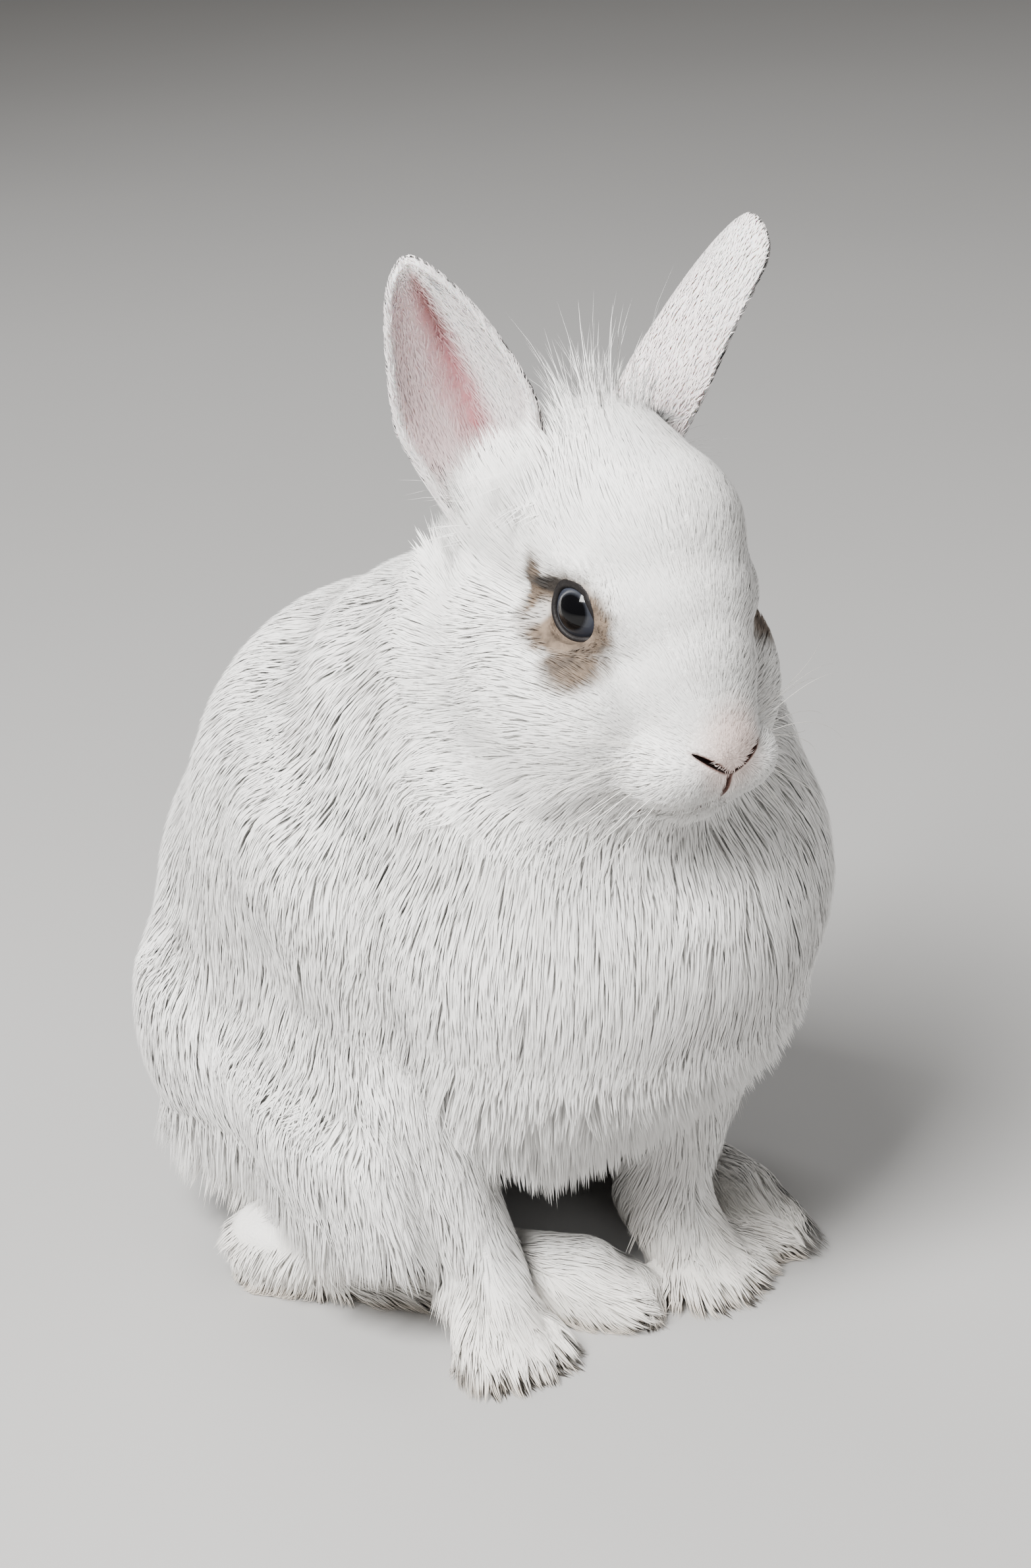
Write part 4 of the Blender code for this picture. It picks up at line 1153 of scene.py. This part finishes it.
def grow_ear_coat(ear, side, chance):
    """Short down on both faces of an ear, longer at its root, shorter at its rims and tip, and sparse in its fold.
    """
    unwrap(ear)
    ground = Ground(ear)
    root, axis, length, facing, across = ear_frame(side)
    middles = ground.middles
    height = (middles - np.array(root)) @ np.array(axis) / length
    density = 2.7e6 * ramp(height, 0.06, 0.14)
    roots, normals, chart = ground.sow(density, chance)
    height = (roots - np.array(root)) @ np.array(axis) / length
    inner = normals @ np.array(facing)
    sideways = (roots - np.array(root)) @ np.array(across) / EAR_HALF_WIDTH * SIDES[side]
    fold = np.exp(-((sideways - 0.12) / 0.26) ** 2) * ramp(inner, 0.1, 0.5)
    fold *= ramp(height, 0.22, 0.34) * ramp(height, 0.93, 0.80)
    kept = chance.random(len(roots)) > fold * 0.72
    roots, normals, chart = roots[kept], normals[kept], chart[kept]
    height, fold, inner = height[kept], fold[kept], inner[kept]
    count = len(roots)
    flow = np.tile(np.array(axis), (count, 1)) + chance.normal(0, 0.16, (count, 3))
    rim = ramp(np.abs(inner), 0.60, 0.20)
    level = unit(normals + np.sign(inner)[:, None] * rim[:, None] * np.array(facing) * 1.3)
    flow = flow + normals * rim[:, None] * 0.10
    flat = unit(flow - normals * (np.sum(flow * normals, axis=1) * (1 - rim))[:, None])
    long = mixed(np.full(count, 0.0030), 0.0042, ramp(inner, 0.2, 0.6) * (1 - fold))
    long = long * mixed(np.ones(count), 0.60, ramp(height, 0.80, 0.95)) * (1 - 0.45 * rim)
    long = mixed(long, 0.0085, ramp(height, 0.42, 0.18)) * chance.uniform(0.7, 1.25, count)
    stations = [roots - normals * 0.0002]
    for share, rise in ((0.55, 0.00036), (1.0, 0.0006)):
        laid, _ = ground.raised(roots + flat * (long * share)[:, None], np.full(count, rise))
        stations.append(laid)
    widths = np.full(count, 0.00030) * chance.uniform(0.7, 1.25, count)
    down = blades("fur_ear_" + side, stations, level, widths, chart)
    tint_ear(down, ear_tints(side, roots, normals), len(down.data.vertices) // count)
    return down


def ear_tints(side, points, normals):
    """Three shares at points on an ear: its pink, the painted shade in the crease of its fold near the tip, and its
    grey spot.
    """
    steps = [(share, offset) for share in np.linspace(0, 1, 61) for offset in np.linspace(-1, 1, 41)]
    tree = KDTree(len(steps))
    for index, (share, offset) in enumerate(steps):
        tree.insert(ear_point(side, share, offset), index)
    tree.balance()
    nearest = np.array([steps[tree.find(point)[1]] for point in points])
    share, outwards = nearest[:, 0], nearest[:, 1] * SIDES[side]
    inner = ramp(normals @ np.array(ear_frame(side)[3]), -0.15, 0.25)
    reach = np.where(outwards > EAR_FOLD, 0.42, 0.19)
    fold = np.exp(-((outwards - EAR_FOLD) / reach) ** 2)
    run = ramp(share, 0.14, 0.32) * ramp(share, 0.985, 0.86)
    wall = ramp(outwards, -0.05, 0.25) * ramp(outwards, 1.02, 0.80)
    pink = inner * run * np.maximum(fold, 0.50 * wall) + (1 - inner) * 0.13 * ramp(share, 0.90, 0.50)
    # Painted shade: the crease of the fold near the tip is darkened where the rolled tip shades it.
    crease = np.exp(-((outwards - EAR_FOLD) / 0.20) ** 2)
    dark = inner * crease * ramp(share, 0.58, 0.76) * ramp(share, 0.985, 0.90)
    spot = np.zeros(len(points))
    if side == "right":
        spot = np.exp(-((share - 0.890) / 0.020) ** 2 - ((outwards + 0.60) / 0.16) ** 2)
    return {"pink": pink, "dark": dark, "spot": spot}


def tint_ear(obj, tints, each=1):
    """Gives an ear piece its tints as attributes, with a number of points for each value."""
    for name, values in tints.items():
        layer = obj.data.attributes.new(name, "FLOAT", "POINT")
        layer.data.foreach_set("value", np.repeat(values, each).astype(np.float32))


# Materials. Arithmetic on a Value adds Math nodes; every other node comes from Finish.add.


class Value:
    """A socket that varies over a surface, with arithmetic that adds its Math nodes."""

    def __init__(self, finish, socket):
        self.finish = finish
        self.socket = socket

    def math(self, operation, first, second):
        return self.finish.add("ShaderNodeMath", {"operation": operation}, {0: first, 1: second})

    def __add__(self, other):
        return self.math("ADD", self, other)

    def __radd__(self, other):
        return self.math("ADD", other, self)

    def __sub__(self, other):
        return self.math("SUBTRACT", self, other)

    def __rsub__(self, other):
        return self.math("SUBTRACT", other, self)

    def __mul__(self, other):
        return self.math("MULTIPLY", self, other)

    def __rmul__(self, other):
        return self.math("MULTIPLY", other, self)

    def __pow__(self, other):
        return self.math("POWER", self, other)

    def most(self, other):
        return self.math("MAXIMUM", self, other)


class Finish:
    """One material: its node tree, and short ways to add to it."""

    def __init__(self, name, roughness, constants=None):
        self.material = bpy.data.materials.new(name)
        self.material.use_nodes = True
        self.tree = self.material.node_tree
        self.shader = self.tree.nodes["Principled BSDF"]
        self.shader.inputs["Roughness"].default_value = roughness
        for socket, value in (constants or {}).items():
            self.shader.inputs[socket].default_value = value
        self.place = self.add("ShaderNodeTexCoord", output="Object")

    def add(self, kind, settings=None, inputs=None, output=0):
        """Adds a node, with its settings first and then its sockets' values or links."""
        node = self.tree.nodes.new(kind)
        for key, value in (settings or {}).items():
            if key == "stops":
                self.set_stops(node.color_ramp, value)
            else:
                setattr(node, key, value)
        for key, value in (inputs or {}).items():
            if isinstance(value, Value):
                self.tree.links.new(value.socket, node.inputs[key])
            else:
                node.inputs[key].default_value = value
        return Value(self, node.outputs[output])

    def set_stops(self, colour_ramp, stops):
        """Sets the stops of a colour ramp, from pairs of a place and a colour."""
        while len(colour_ramp.elements) < len(stops):
            colour_ramp.elements.new(1.0)
        for element, (place, colour) in zip(colour_ramp.elements, stops):
            element.position = place
            element.color = (*colour, 1)

    def feed(self, socket, value):
        """Links a value to one of the shader's sockets."""
        self.tree.links.new(value.socket, self.shader.inputs[socket])

    def noise(self, scale, detail=3.0, place=None):
        """Soft random values from 0 to 1."""
        inputs = {"Vector": place or self.place, "Scale": scale, "Detail": detail}
        return self.add("ShaderNodeTexNoise", {}, inputs)

    def step(self, value, low, high):
        """0 at low and 1 at high, smooth between them."""
        settings = {"interpolation_type": "SMOOTHSTEP"}
        inputs = {0: value, 1: low, 2: high, 3: 0.0, 4: 1.0}
        return self.add("ShaderNodeMapRange", settings, inputs)

    def blend(self, share, first, second):
        """A blend of two colours."""
        settings = {"data_type": "RGBA"}
        first, second = (
            (*colour, 1) if isinstance(colour, tuple) else colour for colour in (first, second)
        )
        return self.add("ShaderNodeMix", settings, {0: share, 6: first, 7: second}, 2)

    def blot(self, frame_of_blot, radii, soft, ragged=0.0, scale=300.0):
        """1 within an ellipsoid, fading out past it, with a ragged edge."""
        turn = frame_of_blot.to_euler()
        settings = {"vector_type": "TEXTURE"}
        inputs = {
            "Vector": self.place, "Location": frame_of_blot.translation,
            "Rotation": turn, "Scale": radii,
        }
        local = self.add("ShaderNodeMapping", settings, inputs)
        gap = self.add("ShaderNodeVectorMath", {"operation": "LENGTH"}, {0: local}, "Value")
        if ragged:
            gap = gap + (self.noise(scale) - 0.5) * ragged
        return self.step(gap, 1 + soft, 1 - soft)

    def bump(self, height, strength, distance):
        """Small relief that feeds the shader's normal."""
        inputs = {"Strength": strength, "Distance": distance, "Height": height}
        self.feed("Normal", self.add("ShaderNodeBump", {}, inputs))


WHITE = (0.94, 0.935, 0.92)
SHADE_WHITE = (0.885, 0.870, 0.845)
CREAM = (0.80, 0.72, 0.60)
STAIN = (0.52, 0.40, 0.27)
PINK_NOSE = (0.84, 0.66, 0.60)
# Bare skin darkened as painted shade in the slits of the muzzle.
BARE_SKIN_SHADE = (0.16, 0.09, 0.075)
RING_BROWN = (0.062, 0.042, 0.028)
RING_TAN = (0.175, 0.125, 0.088)
EAR_PINK = (0.62, 0.23, 0.26)
# Painted shade for the crease of the ear's fold.
EAR_SHADE = (0.26, 0.13, 0.12)
EAR_PALE = (0.93, 0.84, 0.84)
GREY_SPOT = (0.22, 0.24, 0.27)


def frame_at(place, axes=None):
    """A place and a turn as one matrix."""
    return Matrix.Translation(place) @ (axes or HEAD_AXES).to_3x3().to_4x4()


def body_colour(finish):
    """The coat's colours over the body: white, with its markings and a painted shade in the fold over each eye,
    shared by skin and fur.
    """
    colour = finish.blend(finish.noise(90.0), WHITE, SHADE_WHITE)
    colour = finish.blend(finish.noise(700.0, 1.0) * 0.35, colour, SHADE_WHITE)
    height = finish.add("ShaderNodeSeparateXYZ", {}, {0: finish.place}, 2)
    low = finish.step(height + (finish.noise(160.0) - 0.5) * 0.012, 0.026, 0.006)
    colour = finish.blend(low * 0.30, colour, CREAM)
    sole = finish.step(height + (finish.noise(240.0) - 0.5) * 0.004, 0.0045, 0.0010)
    colour = finish.blend(sole * 0.38, colour, STAIN)
    nose = finish.blot(frame_at(on_head(0, 0.0245, -0.0262)), (0.0075, 0.0070, 0.0090), 0.55)
    colour = finish.blend(nose * 0.85, colour, PINK_NOSE)
    brow = finish.blot(frame_at(on_head(-0.004, -0.004, 0.033)), (0.006, 0.010, 0.006), 0.5, 0.7)
    colour = finish.blend(brow * 0.16, colour, GREY_SPOT)
    for sign in SIDES.values():
        behind_eye, wide = (-0.0024, 0.0128) if sign < 0 else (-0.0052, 0.0100)
        round_eye = face_blot(finish, sign, (behind_eye, -0.0016), (wide, 0.0098), 0.22, 0.40)
        below = face_blot(finish, sign, (0.0016, -0.0105), (0.0070, 0.0066), 0.26, 0.40)
        behind = face_blot(finish, sign, (-0.0122, 0.0030), (0.0028, 0.0078), 0.35, 0.45)
        patch = round_eye.most(below).most(behind)
        mottled = finish.blend(finish.step(finish.noise(380.0), 0.26, 0.76), RING_TAN, RING_BROWN)
        pale = face_blot(finish, sign, (-0.0098, -0.0020), (0.0024, 0.0030), 0.50, 0.40)
        strength = patch * (0.98 - pale * 0.40)
        colour = finish.blend(strength, colour, mottled)
        # Painted shade: a near-black band in the fold above and behind each eye.
        fold = face_blot(finish, sign, (-0.0072, 0.0046), (0.0066, 0.0020), 0.35, 0.25)
        colour = finish.blend(fold * 0.96, colour, (0.026, 0.023, 0.021))
    return colour


def face_blot(finish, sign, middle, radii, soft, ragged):
    """A blot on one side of the face, given by its place and radii ahead and up from the eye."""
    place = on_head(sign * 0.0205, middle[0], middle[1])
    return finish.blot(frame_at(place), (0.0100, radii[0], radii[1]), soft, ragged)


def coat_finish():
    """White fur."""
    finish = Finish("white_fur", 0.62, {"Specular IOR Level": 0.22, "Sheen Weight": 0.15})
    finish.feed("Base Color", body_colour(finish))
    return finish.material


def skin_finish():
    """The short undercoat, with bare skin in the nostrils, the cleft and the mouth painted dark as painted shade in
    these slits.
    """
    finish = Finish("undercoat", 0.85, {"Specular IOR Level": 0.15})
    colour = body_colour(finish)
    # Bare skin painted dark as painted shade in the nostrils, the cleft and the mouth.
    for place, turn, radii in face_cuts():
        wider = tuple(radius + 0.00035 for radius in radii)
        cut = finish.blot(frame_at(place, turn), wider, 0.30)
        colour = finish.blend(cut, colour, BARE_SKIN_SHADE)
    finish.feed("Base Color", colour)
    down = finish.noise(1500.0, 2.0)
    finish.bump(down, 0.5, 0.0006)
    return finish.material


def lid_finish():
    """The dark bare rims of the lids."""
    finish = Finish("lid_rim", 0.55, {"Specular IOR Level": 0.20})
    finish.feed("Base Color", finish.blend(finish.noise(900.0), (0.005, 0.005, 0.006), (0.016, 0.013, 0.012)))
    finish.bump(finish.noise(2500.0), 0.4, 0.0002)
    return finish.material


def eye_finish(side):
    """A blue-grey iris round a wide black pupil, with a painted highlight that paints a ring in it paler on one
    side, under a wet surface.
    """
    constants = {"Coat Weight": 0.22, "Coat Roughness": 0.03, "Specular IOR Level": 0.12}
    finish = Finish("eye_" + side, 0.10, constants)
    frame_of_eye = eye_axes(side)
    inputs = {
        "Vector": finish.place, "Location": frame_of_eye.translation,
        "Rotation": frame_of_eye.to_euler(), "Scale": (EYE_RADIUS,) * 3,
    }
    local = finish.add("ShaderNodeMapping", {"vector_type": "TEXTURE"}, inputs)
    flat = finish.add("ShaderNodeVectorMath", {"operation": "MULTIPLY"}, {0: local, 1: (1, 1, 0)})
    out = finish.add("ShaderNodeVectorMath", {"operation": "LENGTH"}, {0: flat}, "Value")
    streaks = finish.add("ShaderNodeVectorMath", {"operation": "NORMALIZE"}, {0: flat})
    fibre = finish.noise(9.0, 6.0, streaks)
    out = out + (fibre - 0.5) * 0.030
    stops = [
        (0.0, (0.0015, 0.0015, 0.002)), (0.455, (0.0015, 0.0015, 0.002)), (0.490, (0.010, 0.011, 0.014)),
        (0.535, (0.030, 0.032, 0.038)), (0.585, (0.030, 0.033, 0.043)), (0.700, (0.032, 0.036, 0.050)),
        (0.800, (0.012, 0.013, 0.018)), (0.860, (0.004, 0.004, 0.006)),
    ]
    colour = finish.add("ShaderNodeValToRGB", {"stops": stops}, {0: out})
    # Painted highlight: the ring in the iris is paled only on the side turned to (-0.80, -0.60).
    rim = finish.step(out, 0.515, 0.545) * finish.step(out, 0.590, 0.560)
    turned = finish.add("ShaderNodeVectorMath", {"operation": "DOT_PRODUCT"}, {0: streaks, 1: (-0.80, -0.60, 0)}, "Value")
    painted_ring_highlight = rim * finish.step(turned, -0.35, 0.60)
    finish.feed("Base Color", finish.blend(painted_ring_highlight * 0.60, colour, (0.11, 0.113, 0.120)))
    return finish.material


def ear_colour(finish, skin_share):
    """The ear's colours: white, pink within the fold, painted shade in its crease near the tip, with a grey spot."""
    pink, dark, spot = (
        finish.add("ShaderNodeAttribute", {"attribute_name": name}, output="Fac")
        for name in ("pink", "dark", "spot")
    )
    colour = finish.blend(finish.noise(120.0), EAR_PALE, WHITE)
    colour = finish.blend(pink * (finish.noise(260.0) * 0.5 + 0.65) * skin_share, colour, EAR_PINK)
    # Painted shade in the crease of the fold near the tip.
    colour = finish.blend(dark * 0.75 * skin_share, colour, EAR_SHADE)
    return finish.blend(spot * 0.75, colour, GREY_SPOT)


def ear_skin_finish():
    """Thin skin, pink where it shows, with fine veins."""
    constants = {"Specular IOR Level": 0.3, "Subsurface Weight": 0.25, "Subsurface Scale": 0.002}
    finish = Finish("ear_skin", 0.6, constants)
    vein = finish.step(finish.noise(210.0, 4.0), 0.60, 0.70)
    finish.feed("Base Color", finish.blend(vein * 0.18, ear_colour(finish, 1.0), (0.62, 0.27, 0.29)))
    finish.bump(finish.noise(1600.0), 0.35, 0.0003)
    return finish.material


def ear_fur_finish():
    """The ear's white down, tinted by the skin under it, with its painted shade in the crease."""
    finish = Finish("ear_down", 0.65, {"Specular IOR Level": 0.2, "Sheen Weight": 0.15})
    finish.feed("Base Color", ear_colour(finish, 0.85))
    return finish.material


def whisker_finish():
    """Stiff translucent white hair."""
    finish = Finish("whisker", 0.35)
    finish.feed("Base Color", finish.blend(finish.noise(80.0), (0.92, 0.90, 0.86), (0.80, 0.77, 0.72)))
    return finish.material


def claw_finish():
    """Pale horn with a darker quick."""
    finish = Finish("claw", 0.3, {"Coat Weight": 0.4})
    height = finish.add("ShaderNodeSeparateXYZ", {}, {0: finish.place}, 2)
    colour = finish.blend(finish.step(height, 0.001, 0.006), (0.74, 0.67, 0.58), (0.60, 0.47, 0.40))
    finish.feed("Base Color", finish.blend(finish.noise(900.0) * 0.4, colour, (0.80, 0.74, 0.66)))
    return finish.material


# The studio.


def make_studio():
    """A pale floor, soft lights and the camera at the photograph's angle."""
    bpy.ops.mesh.primitive_plane_add(size=6)
    floor = bpy.context.object
    floor.name = "floor"
    finish = Finish("floor", 0.8)
    finish.feed("Base Color", finish.blend(finish.noise(3.0), (0.38, 0.375, 0.37), (0.42, 0.415, 0.41)))
    floor.data.materials.append(finish.material)
    target = Vector((0, 0, 0.116)) + MOVED
    place_camera(target)
    world = bpy.data.worlds.new("studio")
    bpy.context.scene.world = world
    world.use_nodes = True
    background = world.node_tree.nodes["Background"]
    background.inputs[0].default_value = (0.69, 0.67, 0.64, 1)
    background.inputs[1].default_value = 0.24
    lights = (
        ("key", (-0.75, -0.12, 0.90), 49.0, 0.50, (1.0, 0.99, 0.97)),
        ("fill", (0.75, -0.75, 0.60), 4.0, 0.80, (1.0, 1.0, 1.0)),
        ("back", (0.45, 0.90, 0.90), 7.0, 0.70, (1.0, 1.0, 1.0)),
    )
    for name, place, power, size, colour in lights:
        light = bpy.data.lights.new(name, "AREA")
        light.energy = power
        light.size = size
        light.color = colour
        lamp = bpy.data.objects.new(name, light)
        bpy.context.scene.collection.objects.link(lamp)
        lamp.location = Vector(place) + target
        lamp.rotation_euler = (-Vector(place)).to_track_quat("-Z", "Y").to_euler()


def place_camera(target, azimuth=-50, elevation=22, roll=4, distance=0.8, lens=80.6):
    """The camera, from the front right and above, tilted a little as in the photograph."""
    turn, rise = math.radians(azimuth), math.radians(elevation)
    back = Vector((math.sin(turn) * math.cos(rise), -math.cos(turn) * math.cos(rise), math.sin(rise)))
    data = bpy.data.cameras.new("camera")
    data.lens = lens
    data.sensor_width = 36
    camera = bpy.data.objects.new("camera", data)
    bpy.context.scene.collection.objects.link(camera)
    camera.location = target + back * distance
    camera.rotation_mode = "QUATERNION"
    lean = Quaternion((0, 0, 1), math.radians(-roll))
    camera.rotation_quaternion = (-back).to_track_quat("-Z", "Y") @ lean
    bpy.context.scene.camera = camera


def dress(obj, material):
    """Gives a piece its material and slot, and lets it ride on the body."""
    obj.data.materials.clear()
    obj.data.materials.append(material)
    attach(obj, "root")
    return obj


def main():
    """Builds and dresses every piece."""
    make_studio()
    chance = np.random.default_rng(SEED)
    skin = make_skin()
    unwrap(skin)
    coat, ground = grow_coat(skin, chance)
    fur = coat_finish()
    for piece in coat:
        dress(piece, fur)
    dress(wisps("fur_wisps", ground, wisp_clusters(), chance), fur)
    dress(skin, skin_finish())
    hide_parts(*FLESH)
    dress(make_whiskers(ground, chance), whisker_finish())
    dress(make_claws(), claw_finish())
    lid, down, ear_skin = lid_finish(), ear_fur_finish(), ear_skin_finish()
    for side in SIDES:
        dress(lid_ring(side), lid)
        eye = dress(make_eye(side), eye_finish(side))
        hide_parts("eye_" + side)
        ear = make_ear(side)
        dress(grow_ear_coat(ear, side, chance), down)
        dress(ear, ear_skin)
        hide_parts("ear_" + side)


main()
